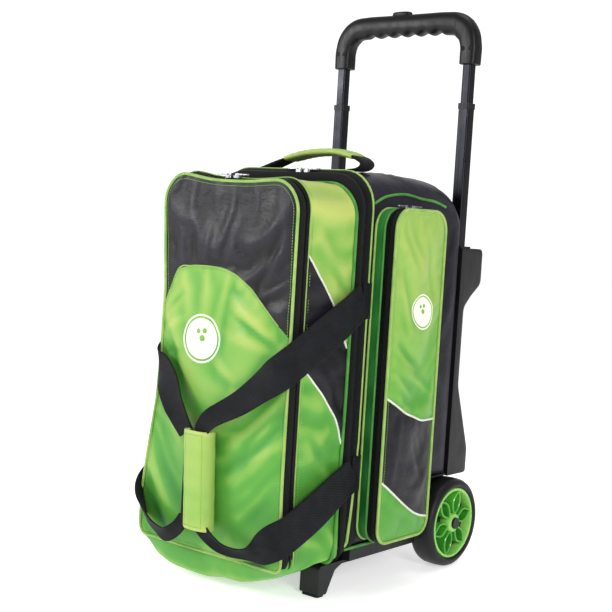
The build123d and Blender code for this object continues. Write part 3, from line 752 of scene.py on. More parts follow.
# ---------------------------------------------------------------- the door: shoe compartment
def door_band():
    """Sides, top and sagging bottom of the front section, in one skin."""
    depths = [-190, -188.4, -186.4, -184, -181, -177, *range(-172, -129, 6), -125, -120, -116, -113, -111]
    folds = [(470, -172, 10, 2.2), (430, -150, 12, -2.0), (396, -130, 9, 2.2), (350, -140, 12, -2.2),
             (300, -165, 10, 2.4), (255, -140, 12, 2.0), (214, -170, 10, -2.2), (180, -150, 12, 2.4),
             (140, -165, 10, -2.0), (105, -145, 12, 2.4)]
    loops, pins = [], []
    for index, y in enumerate(depths):
        t = (y + 190) / 79
        shape = front_outline(y)
        x, z = shape[:, 0].copy(), shape[:, 1].copy()
        bottom = np.clip((66 - z) / 16, 0, 1)
        forward = bottom * 22.5 * (1 - t) ** 1.2
        deep = np.interp(t, [0, 0.03, 0.1, 0.3, 0.55, 0.8, 1], [0.02, 0.6, 1.0, 1.0, 0.6, 0.2, 0.0])
        z -= bottom * deep * np.interp(x, SAG_X, SAG_DOWN)
        puff = math.sin(math.pi * t) * np.clip((z - 60) / 60, 0, 1) * np.clip((520 - z) / 60, 0, 1)
        x += np.sign(x) * puff * np.where(x > 0, 3.0, 6.0) * (np.abs(x) > 60)
        for rise, depth, w, h in folds:
            crease = ridge(z, np.full_like(z, y), rise, depth, rise - 34, depth + 26, w * 0.6, h)
            x += np.sign(x) * (np.abs(x) > 80) * crease
        loops.append(np.column_stack([x, y - forward, z]))
        edge = index in (0, len(depths) - 1)
        pins.append(np.full(len(x), 1.0 if edge else 0.0))
    points, faces = loft(loops)
    obj = piece("door_band_cloth", points, faces, "door", "front_door",
                ["door_top_panel", "door_right_side", "door_left_side", "door_bottom_gusset"])
    pins = np.concatenate(pins)
    y, z, x = points[:, 1], points[:, 2], points[:, 0]
    seam = np.minimum(np.abs(z - np.interp(y, *SIDE_UP)), np.abs(z - np.interp(y, *SIDE_LOW)))
    pins = np.maximum(pins, 0.7 * (seam < 4) * (np.abs(x) > 100))
    drape(obj, pins, grow=0.03, pressure=0.3, soften=2)
    modify(obj, "SUBSURF", levels=1, render_levels=1)
    now = spots(obj)
    x, y, z = now.T
    side = np.minimum(np.interp(y, *SIDE_UP) - z, z - np.interp(y, *SIDE_LOW))
    top = np.where(z > 500, 68 + 21.5 * (y + 190) / 78 - np.abs(x), -50)
    mark(obj, "tone", np.maximum(side, top))
    mark_fold_shade(obj)
    return thicken(obj, 0.0022, 40, (1, 0, 0))


door = door_band()
door_tree = surface(door)
rear_edge = front_outline(-111.5, 1.4)
rear_y = np.interp(rear_edge[:, 1], [50, 70, 128, 257], [-124, -120, -115, -112])
cord("door_rear_cord", standing(rear_edge, rear_y), 2.2, "cord_dark", "front_door", closed=True)
front_line = front_outline(-190, 0.6)
cord("door_front_cord", standing(front_line, -190.5)[NB + 5:-NB - 5], 0.9, "cord", "front_door")
for label, seam, low in (("upper", SIDE_UP, -189), ("lower", SIDE_LOW, -190)):
    for side, sign in SIDES:
        line = beside(seam, sign * 175.0, np.linspace(low, -114, 26))
        line = pressed(door_tree, line, (-sign, 0, 0), 0.3, 30)
        cord(f"door_{side}_{label}_cord", line, 1.35, "cord_cream", "front_door", step=3.0)
front_seam = standing(front_outline(-186, 0.0), -185.5)[NB + 5:-NB - 5]
stitches("door_front_stitches", along(front_seam, 3.8, lambda p: (p[0], 0, (p[2] - 300) * 0.4), lift=0.5),
         "front_door")


def door_back():
    """Padded lining board that closes the back of the shoe compartment."""
    a, b, s, t, rows = panel(44, 26, lambda z: -121.0, lambda z: 121.0, 52, 526.5, 10, 38)
    rise = (1 - np.abs(2 * s - 1) ** 4) * (1 - np.abs(2 * t - 1) ** 8)
    quilt = 0.8 * np.abs(np.sin(math.pi * a / 60)) ** 0.5 * np.abs(np.sin(math.pi * b / 60)) ** 0.5
    points = np.column_stack([a, -108.6 + (0.6 + quilt) * rise, b])
    obj = piece("door_back_lining", points, lattice(rows, 26), "black", "front_door",
                ["door_back_panel"])
    return thicken(obj, 0.003, len(obj.data.polygons) // 2, (0, 1, 0))


door_back()


def zip_outline(half, bottom, top, radius):
    """The main zipper's outline, without the front section's slouch."""
    return outline(-half, half, bottom, top, radius, 10)


strip("door_zipper_tape_cloth", [(front_outline(-110), -110), (zip_outline(126.6, 51.0, 544.4, 45), -104),
                                 (zip_outline(127.3, 55.0, 545.8, 46), -98.6)],
      "front_door", ["door_zipper_tape"], first=0)
strip("main_zipper_tape_cloth", [(zip_outline(127.5, 56.0, 546.0, 46), -97.4),
                                 (zip_outline(128.8, 59, 548.6, 46), -90),
                                 (zip_outline(129.6, 62, 550.2, 46), -83)],
      "root", ["main_zipper_tape"], first=0)
coil("main_zipper_coil", standing(zip_outline(127.4, 55.6, 546.0, 46), -98.0)[2:LEFT_SIDE], "root")


# ---------------------------------------------------------------- ball compartment
def body_outline(y):
    """The ball compartment's outline at a depth: a low dome that falls away towards the back."""
    top = np.interp(y, [-84, -60, -30, 20, 60, 95, 120, 138],
                    [549.5, 552, 553.5, 554.5, 554, 549.5, 541, 524])
    half = np.interp(y, [-84, 118, 130, 138], [130, 130, 128.5, 122])
    shape = outline(-half, half, 62, top, 42, 8)
    x, z = shape[:, 0], shape[:, 1]
    fall = 6 * (np.abs(x) / 130) ** 2.2 * np.clip((z - 430) / 90, 0, 1)
    if y > 64:
        x = np.where(z < 132.5, np.clip(x, -106.6, 106.6), x)
    return np.column_stack([x, z - fall])


def ball_body():
    """Top, sides, floor and back of the ball compartment in one skin, notched for the wheels."""
    depths = [-83.5, -80, -74, *range(-66, 55, 8), 63.8, 64.2, *range(72, 105, 8), 110, 116, 121, 126,
              130, 134, 137]
    top_folds = [(60, 100, -20, 30, 8, 2.4), (95, 60, 40, -20, 7, -2.2), (10, 90, -60, 60, 8, 2.2),
                 (118, 30, 70, -40, 7, 2.4), (-40, 20, -110, 60, 8, -2.2), (100, 118, 40, 96, 6, 2.4),
                 (20, -20, 60, -66, 6, 2.0), (-30, -40, -90, -20, 7, 2.0)]
    side_folds = [(500, 60, 440, 100, 9, 2.2), (480, 110, 380, 70, 8, -2.0), (400, 120, 330, 96, 9, 2.2),
                  (300, 70, 230, 118, 9, 2.0)]
    loops = []
    for y in depths:
        x, z = body_outline(y).T
        for fold in top_folds:
            z = z + (z > 480) * ridge(x, np.full_like(x, y), *fold)
        for fold in side_folds:
            x = x + np.sign(x) * (np.abs(x) > 100) * ridge(z, np.full_like(z, y), *fold)
        loops.append(standing(np.column_stack([x, z]), y))
    rear = body_outline(138)
    centre = np.array([0, 300.0])
    for share, depth in ((0.97, 138.6), (0.8, 138.8), (0.55, 138.8), (0.3, 138.8)):
        loops.append(standing(centre + (rear - centre) * share, depth))
    points, faces = loft(loops)
    n = len(loops[0])
    faces.append(tuple(range(len(points) - n, len(points))))
    obj = piece("ball_body_cloth", points, faces, "black", "root",
                ["top_panel", "back_panel", "right_side_panel", "left_side_panel", "bottom_panel"])
    z = points[:, 2]
    index = np.arange(len(points)) // n
    pins = np.where((z < 500) | (index == 0) | (points[:, 1] > 136.5), 1.0, 0.0)
    pins = np.where((z > 150) & (z < 500) & (index > 0) & (points[:, 1] < 128), 0.15, pins)
    drape(obj, pins, grow=0.03, pressure=0.2, frames=14, cap=3.0, soften=2)
    mark_fold_shade(obj)
    return thicken(obj, 0.003, 30, (1, 0, 0))


body = ball_body()
body_tree = surface(body)
mouth = zip_outline(130.5, 61, 551, 46)
mouth_y = np.interp(mouth[:, 1], [61, 70, 115, 200], [-100, -96, -91, -85])
cord("body_mouth_cord", standing(mouth, mouth_y), 2.2, "cord", "root", closed=True)
wave_line = smooth_line([(180, -80, 511), (180, -52, 521), (180, -8, 526), (180, 30, 522), (180, 60, 520),
                         (180, 88, 514)], 8)
base_line = smooth_line([(128.5, -98, 60), (130.5, -70, 61), (130.5, 0, 61), (130, 60, 61)], 8)
for side, sign in SIDES:
    line = pressed(body_tree, wave_line * np.array([sign, 1, 1]), (-sign, 0, 0), 0.6, 40)
    cord(f"body_{side}_top_cord", line, 1.9, "cord_dark", "root", step=3.0)
for side, sign in SIDES:
    cord(f"body_{side}_bottom_cord", base_line * np.array([sign, 1, 1]), 1.9, "cord_dark", "root", step=3.0)
mouth_seam = standing(zip_outline(130.4, 62, 551.5, 46), -79.5)
stitches("body_mouth_stitches",
         along(mouth_seam, 3.8, lambda p: (p[0], 0, (p[2] - 300) * 0.5), lift=0.3, closed=True),
         "root", "thread_black")


def foam_cup():
    """Foam block with a round dish for the lower ball, its edges rolled."""
    loops = []
    sides = 96
    a = around(sides)
    cosine, sine = np.cos(a), np.sin(a)
    square = 1 / np.maximum(np.abs(cosine) ** 6 + np.abs(sine) ** 6, 1e-9) ** (1 / 6)

    def ring(half_x, half_y, z):
        return np.column_stack([half_x * cosine, 25 + half_y * sine, np.full(sides, z)])

    for share, z in ((0.94, 67.4), (0.985, 69), (1.0, 73), (1.0, 90), (0.99, 94.5), (0.965, 96.8)):
        loops.append(ring(100 * share * square, 86 * share * square, z))
    for radius in (80, 76, 70, 62, 52, 42, 34):
        depth = 179.0 - math.sqrt(108.5 ** 2 - radius ** 2)
        loops.append(ring(radius, radius, min(depth, 96.5)))
    loops += [ring(30.5, 30.5, 73.0), ring(30.5, 30.5, 67.4)]
    faces = lattice(len(loops), sides, True, True)
    return outward(piece("foam_cup", np.concatenate(loops), faces, "foam", "root", ["ball_cup"]))


foam_cup()


# ---------------------------------------------------------------- side pocket
POCKET_MID = -18.5


def pocket_loop(x, grow=0.0):
    """The pocket's rounded outline, upright, at a distance from the bag's middle."""
    shape = outline(-56.5 - grow, 56.5 + grow, 70 - grow, 505 + grow, 26 + grow, 20 + grow)
    return np.column_stack([np.full(len(shape), x), shape[:, 0] + POCKET_MID, shape[:, 1]])


def pocket_ring(name, stations, look, body, stands_for, waves=0.0):
    """A band round the pocket through loops at several distances from the bag's side."""
    loops = []
    for x, grow in stations:
        loop = pocket_loop(x, grow)
        if waves:
            mid = math.sin(math.pi * (x - stations[0][0]) / (stations[-1][0] - stations[0][0]))
            loop[:, 1] += waves * mid * np.sin(loop[:, 2] / 11.0) * np.sign(loop[:, 1] - POCKET_MID)
        loops.append(loop)
    points, faces = loft(loops)
    obj = piece(name, points, faces, look, body, stands_for)
    mark_fold_shade(obj, 0.8, 8)
    thicken(obj, 0.0025, NB + NC + 20, (0, 1, 0))


pocket_ring("pocket_gusset_cloth", [(129.6, 0.0), (133, 0.6), (137, 1.0), (141, 0.8), (145.6, 0.0)],
            "dark_green", "root", ["pocket_gusset"], waves=0.5)
cord("pocket_base_cord", pocket_loop(131.2, 1.2), 1.6, "cord", "root", closed=True)
cord("pocket_mid_cord", pocket_loop(145.4, 1.0), 1.5, "cord_dark", "root", closed=True)
pocket_ring("pocket_zipper_tape_cloth", [(145.6, 0.0), (148, 0.6), (150.4, 0.2)],
            "zipper", "root", ["pocket_zipper_tape"])
pocket_ring("pocket_flap_band_cloth", [(151.6, 0.2), (155, 0.9), (159, 0.9), (163, 0.0)],
            "zipper", "pocket_flap", ["pocket_flap_band"])


def pocket_coil():
    """The pocket's coil, left out along the back edge that its flap turns on."""
    loop = pocket_loop(151.0, 0.5)
    line = np.roll(loop, -(NB + NC + NS), axis=0)[:len(loop) - NS - NC // 2]
    places = []
    for p, t, _ in along(line, 1.7, (1, 0, 0)):
        rise = p[2] - 287
        upward = np.clip(rise / 3.5, -60, 60) if 95 < p[2] < 480 else rise / 1.4
        out = np.array([0, p[1] - POCKET_MID, upward])
        out = out - t * np.dot(out, t)
        out /= np.linalg.norm(out)
        for shift in (-0.8, 0.8):
            places.append((p + np.array([shift, 0, 0]) + out * 0.9, t, out))
    blocks("pocket_zipper_coil", places, (1.1, 1.5, 1.2), "coil", "root")


pocket_coil()


def pocket_panel():
    """The pocket's panel: green, with a black stretch between two curved seams."""
    a, b, s, t, rows = panel(96, 30, lambda z: -55.8, lambda z: 55.8, 70.7, 504.3, 19, 25.5)
    rise = (1 - np.abs(2 * s - 1) ** 2.4) * (1 - np.abs(2 * t - 1) ** 6)
    x = 163.0 + 6.0 * rise
    folds = [
        (-30, 480, 6, 420, 6, 2.0), (10, 470, 38, 380, 7, -1.8), (-44, 430, -20, 350, 6, 1.8),
        (-40, 330, 10, 300, 6, -1.8), (-10, 290, 40, 262, 6, 1.8), (-44, 290, -8, 262, 5, 1.6),
        (-30, 230, -40, 150, 6, 2.0), (0, 205, 30, 150, 7, -1.8), (14, 215, 44, 190, 4, 1.4),
        (-36, 120, 20, 96, 8, 1.4)]
    for fold in folds:
        x += ridge(a, b, *fold) * np.clip(rise * 2, 0, 1)
    obj = piece("pocket_panel_cloth", np.column_stack([x, a + POCKET_MID, b]), lattice(rows, 30), "pocket",
                "pocket_flap", ["pocket_flap_panel"])
    y = a + POCKET_MID
    seam = np.minimum(np.abs(b - np.interp(y, *POCKET_UP)), np.abs(b - np.interp(y, *POCKET_LOW)))
    pins = np.maximum(border(rows, 30) * 1.0, 0.8 * (seam < 3))
    drape(obj, pins, grow=0.022, pressure=0.3, cap=4.0)
    modify(obj, "SUBSURF", levels=1, render_levels=1)
    now = spots(obj)
    _, y, z = now.T
    mark(obj, "tone", np.minimum(np.interp(y, *POCKET_UP) - z, z - np.interp(y, *POCKET_LOW)))
    mark_fold_shade(obj, out=(1, 0, 0))
    return thicken(obj, 0.0022, len(obj.data.polygons) // 2, (1, 0, 0))


pocket = pocket_panel()
pocket_tree = surface(pocket)
cord("pocket_edge_cord", pocket_loop(163.6, 0.8), 2.1, "cord", "pocket_flap", closed=True,
     stands_for=["pocket_flap_piping"])
for label, seam in (("upper", POCKET_UP), ("lower", POCKET_LOW)):
    line = beside(seam, 190.0, np.linspace(-74, 37, 31))
    line = pressed(pocket_tree, line, (-1, 0, 0), 0.4, 30)
    cord(f"pocket_{label}_cord", line, 1.5, "cord_cream", "pocket_flap", step=3.0)
stitch_loop = pocket_loop(190.0, -5.0)
stitch_line = pressed(pocket_tree, stitch_loop, (-1, 0, 0), 0.1, 30)
stitches("pocket_edge_stitches", along(stitch_line, 3.6, (1, 0, 0), closed=True), "pocket_flap",
         size=(2.3, 0.55, 0.5))


# ---------------------------------------------------------------- straps and handle
def strap_section(width, thick, curl=0.0):
    """Flat section with rounded edges that curl outwards: across, out."""
    sides = 14
    half, deep = width / 2, thick / 2
    flat = np.linspace(-half + deep, half - deep, sides)
    a = np.concatenate([flat, np.linspace(half - deep, -half + deep, sides)])
    b = np.concatenate([np.full(sides, deep), np.full(sides, -deep)])
    section = np.column_stack([a, b])
    ends = []
    for k in range(3):
        angle = math.pi / 2 - math.pi * (k + 1) / 4
        ends.append((half - deep + deep * math.cos(angle), deep * math.sin(angle)))
    other = [(-x, -y) for x, y in ends]
    section = np.vstack([section[:sides], ends, section[sides:], other])
    section[:, 1] += curl * (np.abs(section[:, 0]) / half) ** 2
    return section


def webbing(name, stations, body, stands_for=(), per=8, curl=((0, 1), (0, 0))):
    """Strap through stations of (centre, outward, width, thickness)."""
    keys = np.array([[*centre, *out, width, thick] for centre, out, width, thick in stations], float)
    fine = smooth_line(keys, per)
    line, outs = fine[:, :3], fine[:, 3:6]
    ahead = directions(line, False)
    loops = []
    for index in range(len(line)):
        out = outs[index] - ahead[index] * np.dot(outs[index], ahead[index])
        out /= np.linalg.norm(out)
        across = np.cross(ahead[index], out)
        section = strap_section(fine[index, 6], fine[index, 7], np.interp(index / (len(line) - 1), *curl))
        loops.append(line[index] + section[:, :1] * across + section[:, 1:] * out)
    points, faces = loft(loops, closed=True, caps=True)
    return outward(piece(name, points, faces, "webbing", body, stands_for)), line


RIGHT, RIGHT_IN, CORNER = (1, 0, 0), (0.95, -0.3, 0), (0.72, -0.7, 0)

# Each run from its side seam to the wrap: its side, the route, its widths and where its face looks.
RUNS = {
    "right_upper": (
        1, [(133.4, -95.5, 386), (134, -101, 383), (134.5, -125, 369), (131.5, -168, 343), (126.5, -208, 318),
            (117, -228.5, 301), (88, -232.5, 278), (58, -236, 254), (30, -241, 236), (12, -244.5, 224),
            (0, -245.5, 207)],
        [48, 48, 48, 48, 47, 44, 40, 35, 30, 26, 22],
        [RIGHT] * 3 + [RIGHT_IN] * 2 + [CORNER, (0.1, -1, 0.2), (0.1, -1, 0.35), (0, -1, 0.3)]
        + [FORWARD] * 2),
    "right_lower": (
        1, [(133.4, -95.5, 161), (134, -101, 158), (135, -125, 147), (134, -168, 124), (128, -208, 101),
            (117, -228, 88), (99, -233, 74), (80, -237, 69), (54, -242, 70), (28, -245, 78), (6, -246, 92)],
        [48, 48, 48, 48, 48, 47, 36, 20, 17, 17, 20],
        [RIGHT] * 3 + [RIGHT_IN] * 2 + [CORNER, (0.2, -1, -0.3), (0, -1, -0.7), (0, -1, -0.5)]
        + [FORWARD] * 2),
    "left_upper": (
        -1, [(-133.4, -95.5, 386), (-133.5, -101, 383), (-132, -125, 364), (-126.5, -160, 336),
             (-119, -190, 300), (-113, -207, 287), (-107.5, -217, 279), (-95, -222, 273), (-78, -227.5, 260),
             (-60, -233, 240), (-44, -237, 221), (-31, -238.5, 204)],
        [48, 48, 48, 48, 48, 48, 48, 46, 43, 38, 31, 26],
        [RIGHT] * 3 + [RIGHT_IN] * 3 + [CORNER, (0.25, -1, 0)] + [FORWARD] * 4),
    "left_lower": (
        -1, [(-133.4, -95.5, 161), (-134, -101, 158), (-138, -125, 148), (-140, -165, 131), (-136, -200, 112),
             (-125, -221, 95), (-106, -231, 80), (-83, -235, 70), (-58, -238, 66), (-38, -239, 76),
             (-27, -238.5, 92)],
        [48, 48, 48, 47, 44, 38, 30, 24, 20, 20, 20],
        [RIGHT] * 3 + [(1, -0.2, -0.2), (0.9, -0.35, -0.45), (0.6, -0.6, -0.55), (0.2, -0.8, -0.6),
                       (0, -0.8, -0.6), (0, -1, -0.3)] + [FORWARD] * 2),
}
for label, (sign, route, widths, outs) in RUNS.items():
    side = label.split("_")[0]
    stations = [(centre, (sign * out[0], *out[1:]), width, 2.6)
                for centre, width, out in zip(route, widths, outs)]
    made, line = webbing(f"strap_{label}", stations, f"{side}_carry_loop", [f"{side}_strap"],
                         curl=([0, 0.62, 0.84, 0.94, 1], [0, 0, 5, 2, 0]))
for side, x, y in (("right", -1, -245.5), ("left", -20, -238)):
    stations = [((x, y, z), FORWARD, 25, 5.0) for z in np.linspace(207, 90, 6)]
    made, line = webbing(f"strap_{side}_grip_run", stations, f"{side}_carry_loop")


def strap_tabs():
    """Sewn strap ends in the side seams, each with a box of stitches."""
    points, faces = [], []
    places = []
    for sign in (1, -1):
        for z in (385.0, 160.0):
            loops = []
            for y, x in ((-96, 131.9), (-90, 131.7), (-84, 131.5), (-78.5, 131.2)):
                section = strap_section(48, 2.4)
                loops.append(np.column_stack([np.full(len(section), 0.0) + sign * (x + section[:, 1]),
                                              np.full(len(section), y), z + section[:, 0]]))
            join(points, faces, loft(loops, caps=True))
            box_line = [(sign * 133.0, -94, z - 19), (sign * 133.0, -94, z + 19), (sign * 132.6, -81, z + 19),
                        (sign * 132.6, -81, z - 19)]
            places += along(np.array(box_line), 3.2, (sign, 0, 0), closed=True)
    tabs = outward(piece("strap_tabs_webbing", points, faces, "webbing", "root", ["strap_tabs"]))
    stitches("strap_tab_stitches", places, "root", "thread_black", (2.2, 0.6, 0.5))


strap_tabs()


def strap_wrap():
    """Padded sleeve round the loops: an open C in plan, its loose edge pressed shut on the left."""
    front = [(-20, -241), (-22.5, -246), (-18, -250.2), (-7, -251.6), (5, -251.2), (13, -248.6), (17, -243.5),
             (16.5, -236.5), (12, -231.5), (1, -229.6), (-13, -229.2), (-27, -230.2), (-35, -231.6)]

    def lean(z):
        """How far right the wrap stands at a height, leaning left towards its top."""
        return np.interp(z, [84, 211], [5.5, -1.5])

    centre = smooth_line(front, 6)
    ahead = np.gradient(centre, axis=0)
    ahead /= np.linalg.norm(ahead, axis=1, keepdims=True)
    normal = np.column_stack([ahead[:, 1], -ahead[:, 0]])
    share = np.linspace(0, 1, len(centre))
    thick = 1.5 + 0.5 * np.sin(math.pi * share)
    section = np.vstack([centre + normal * thick[:, None], (centre - normal * thick[:, None])[::-1]])
    loops = []
    for z in np.concatenate([[84.6, 85.2, 87], np.linspace(92, 204, 34), [208.6, 210.2, 210.8]]):
        end = min(1.0, (z - 84.2) / 2.5, (211.2 - z) / 2.5)
        slim = section
        if end < 1:
            slim = section + (np.vstack([centre, centre[::-1]]) - section) * (1 - end) * 0.6
        wave = 0.5 * math.sin(z / 9.0) + 0.4 * math.sin(z / 4.1 + 1)
        loops.append(np.column_stack([slim[:, 0] + lean(z), slim[:, 1] + wave * 0.4, np.full(len(slim), z)]))
    points, faces = loft(loops, caps=False)
    n = len(section)
    half = n // 2
    for base, flip in ((0, 1), ((len(loops) - 1) * n, -1)):
        for k in range(half - 1):
            quad = (base + k, base + k + 1, base + n - 2 - k, base + n - 1 - k)
            faces.append(quad[::flip])
    obj = outward(piece("strap_wrap_cloth", points, faces, "wrap", "right_carry_loop",
                        ["strap_wrap"]))
    mark_fold_shade(obj, 1.2, 10)
    tree = surface(obj)
    places = []
    for z_line in (89.5, 206.0):
        line = np.array([(x + lean(z_line), -270.0, z_line) for x in np.linspace(-22, 11, 12)])
        places += along(pressed(tree, line, (0, 1, 0), 0.1), 3.2, FORWARD)
    for x_line in (-17.0, 11.0):
        line = np.array([(x_line + lean(z), -270.0, z) for z in np.linspace(90, 205, 30)])
        places += along(pressed(tree, line, (0, 1, 0), 0.1), 3.2, FORWARD)
    stitches("strap_wrap_stitches", places, "right_carry_loop", size=(2.2, 0.6, 0.5))


strap_wrap()

# The handle's route in x, z: feet on the top panel, the arch, and the bulge at its right end.
HANDLE = [(-99, 549.6), (-92, 550.6), (-83, 553), (-64, 559.5), (-40, 567.5), (-18, 572.8), (6, 576.3),
          (37, 577.6), (58, 575.6), (75, 571.6), (83, 568.8), (89.5, 565.2), (91, 561), (87, 557),
          (79, 554.6), (69, 554)]
HANDLE_SLEEVE = slice(4, 10)
HANDLE_Y = -50
HANDLE_WIDTH = 30


def top_handle():
    """Webbing arch in the bag's cross plane, doubled at its ends, with a green sleeve round its middle."""
    route = np.array([(x, HANDLE_Y, z) for x, z in HANDLE], float)
    outs = [(-t[2], 0, t[0]) for t in directions(route, False)]
    doubled = [5.0] * 4 + [2.6] * 5 + [3.5, 5.0, 5.0, 4.4, 3.6, 3.0, 2.6]
    stations = [(centre, out, HANDLE_WIDTH, thick) for centre, out, thick in zip(route, outs, doubled)]
    made, line = webbing("top_handle_strap", stations, "root", ["top_handle_webbing"], per=6)
    middle = smooth_line(route[HANDLE_SLEEVE], 8)
    a = around(28)
    loops = []
    for index, (p, t) in enumerate(zip(middle, directions(middle, False))):
        share = index / (len(middle) - 1)
        plump = 1.0 - 0.28 * abs(2 * share - 1) ** 6
        pucker = 1 + 0.05 * math.sin(index * 1.7) + 0.03 * math.sin(index * 3.1)
        u = squared(np.cos(a), 0.55) * 17.2
        v = squared(np.sin(a), 0.75) * 4.6 * plump * pucker
        out = np.array([-t[2], 0, t[0]])
        loops.append(p + u[:, None] * np.array([0, 1.0, 0]) + v[:, None] * out)
    points, faces = loft(loops, caps=True)
    sleeve = outward(piece("top_handle_sleeve_cloth", points, faces, "wrap", "root",
                           ["top_handle_sleeve"]))
    mark_fold_shade(sleeve, 1.0, 8)

    def rows(tree, x0, x1, count, height, step):
        """Stitches down onto both long edges of the handle, between two places."""
        found = []
        for y in (HANDLE_Y - 12.0, HANDLE_Y + 12.0):
            line = np.array([(x, y, height) for x in np.linspace(x0, x1, count)])
            found += along(pressed(tree, line, (0, 0, -1), 0.1), step, (0, 0, 1))
        return found

    stitches("top_handle_stitches", rows(surface(sleeve), -37, 71, 36, 610.0, 3.2), "root",
             size=(2.2, 0.6, 0.5))
    ends = rows(surface(made), -96, -84, 6, 620.0, 3.0) + rows(surface(made), 73, 86, 6, 620.0, 3.0)
    stitches("top_handle_end_stitches", ends, "root", "thread_black", (2.0, 0.6, 0.5))


top_handle()


# ---------------------------------------------------------------- trolley grip and back shell
GRIP_FRONT_Y, GRIP_BACK_Y = 138.6, 164.0


def grip():
    """Moulded grip: two fittings and a bar with finger scallops, swept as one body."""
    half = [(112.6, 0, 719), (112.8, 0, 732), (112.4, 0, 746), (107, 0, 763), (92, 0, 776.5), (70, 0, 779.6),
            (35, 0, 779.8)]
    spine = smooth_line([(-x, y, z) for x, y, z in half] + [(0, 0, 779.8)] + half[::-1], 12)
    ahead = directions(spine, False)
    half_y, mid_y = (GRIP_BACK_Y - GRIP_FRONT_Y) / 2, (GRIP_BACK_Y + GRIP_FRONT_Y) / 2
    a = around(40)
    loops = []
    total = len(spine) - 1
    for index, (p, t) in enumerate(zip(spine, ahead)):
        out = np.array([-t[2], 0, t[0]])
        end = min(index, total - index) / total
        thick = np.interp(end, [0, 0.03, 0.16, 0.25, 0.34, 0.5], [13.2, 13.6, 14.2, 17.0, 16.6, 16.4])
        if index in (0, total):
            thick *= 0.93
        inner = thick
        if abs(p[0]) < 72 and p[2] > 760:
            inner = thick - 1.6 + 1.9 * math.cos(p[0] * 2 * math.pi / 24.0)
        cosine, sine = np.cos(a), np.sin(a)
        power = np.interp(end, [0, 0.16, 0.28], [0.5, 0.55, 0.82])
        u = squared(cosine, power) * half_y * (0.95 if index in (0, total) else 1.0)
        v = squared(sine, power) * np.where(sine > 0, thick, inner)
        groove = np.exp(-((u + mid_y - 150.0) / 0.9) ** 2) * 0.8
        v = v - np.sign(v) * groove
        centre = np.array([p[0], mid_y, p[2]])
        loops.append(centre + u[:, None] * np.array([0, 1.0, 0]) + v[:, None] * out)
    points, faces = loft(loops, caps=True)
    points[:, 2] = np.minimum(points[:, 2], 797.0)
    outward(piece("grip_shell", points, faces, "grip", "upper_stage",
                  ["grip_front_half", "grip_rear_half"]))


grip()


def screws():
    """Recessed round screws on the fittings' front."""
    points, faces = [], []
    for sx in (-1, 1):
        for dx in (-5.5, 6.5):
            x, z = sx * 112.75 + dx, 741.0
            loops = []
            a = around(20)
            for r, y in ((3.4, 139.4), (3.4, 138.4), (2.9, 138.0), (2.4, 138.2), (1.2, 138.5)):
                loops.append(np.column_stack([x + r * np.cos(a), np.full(20, y), z + r * np.sin(a)]))
            join(points, faces, loft(loops, caps=True))
    outward(piece("grip_screw_heads", points, faces, "rubber", "upper_stage", ["grip_screws"]))


screws()


def release_cap():
    """Low rounded push button standing out of the grip's top."""
    a = around(48)
    u, v = squared(np.cos(a), 0.6), squared(np.sin(a), 0.8)
    loops = []
    for share, z in ((1.0, 792.0), (1.0, 797.4), (0.985, 798.6), (0.94, 799.7), (0.84, 800.4), (0.6, 800.8),
                     (0.3, 800.9)):
        loops.append(np.column_stack([-10 + 16.5 * share * u, 150.5 + 6.6 * share * v, np.full(48, z)]))
    points, faces = loft(loops, caps=True)
    outward(piece("release_button_cap", points, faces, "grip", "release", ["release_button"]))


release_cap()


def rounded_path(corners, radii, count=7):
    """Closed outline with each corner turned over a few points."""
    corners = np.asarray(corners, float)
    out = []
    n = len(corners)
    for i in range(n):
        p, before, after = corners[i], corners[i - 1], corners[(i + 1) % n]
        u, v = before - p, after - p
        lu, lv = np.linalg.norm(u), np.linalg.norm(v)
        u, v = u / lu, v / lv
        half = math.acos(max(-1, min(1, float(np.dot(u, v))))) / 2
        reach = min(radii[i] / max(math.tan(half), 1e-3), 0.48 * lu, 0.48 * lv)
        a, b = p + u * reach, p + v * reach
        for k in range(count):
            t = k / (count - 1)
            out.append((1 - t) ** 2 * a + 2 * t * (1 - t) * p + t ** 2 * b)
    return np.array(out)


def shell_side(inset):
    """The back shell's side outline in y, z: fender, tube cover, tube housing."""
    front = 138.4
    fender, cover, housing = 201 - inset, 166 - inset, 208 - inset
    corners = [(front, 128), (fender, 128), (fender, 163), (cover, 258), (cover, 372), (184 - inset, 389),
               (housing, 406), (housing, 457), (front, 457)]
    return rounded_path(corners, [0.4, 4, 34, 44, 18, 12, 14, 9, 0.4])


def back_shell():
    """Moulded back: rounded long edges and a recessed middle with upright ribs."""
    edge, across, deep = 130.0, 24.0, 18.0
    steps = [0, 4, 8, 12, 15, 18, 20, 22, 23.3, 24]
    xs = [edge - across + s for s in steps]
    insets = [deep * (1 - math.sqrt(1 - (s / across) ** 2)) for s in steps]
    stations = [(-x, inset) for x, inset in zip(xs[::-1], insets[::-1])]
    stations += [(x, 0.0) for x in np.linspace(-100, 100, 41)] + list(zip(xs, insets))
    loops = []
    for x, inset in stations:
        shape = shell_side(inset)
        recess = 0.0
        if abs(x) < 92:
            panel_edge = min(1.0, (92 - abs(x)) / 6.0)
            recess = 5.0 * panel_edge
            recess -= 2.6 * max(0.0, 1 - abs((abs(x) % 36) - 18) / 5.0) * panel_edge
        y, z = shape[:, 0].copy(), shape[:, 1]
        band = np.clip((z - 140) / 10, 0, 1) * np.clip((446 - z) / 10, 0, 1)
        y = np.where(y > 150, y - recess * band, y)
        loops.append(np.column_stack([np.full(len(y), x), y, z]))
    points, faces = loft(loops, caps=True)
    obj = outward(piece("back_shell_moulding", points, faces, "moulded", "root",
                        ["back_shell"]))
    obj.data.set_sharp_from_angle(angle=math.radians(40))


back_shell()


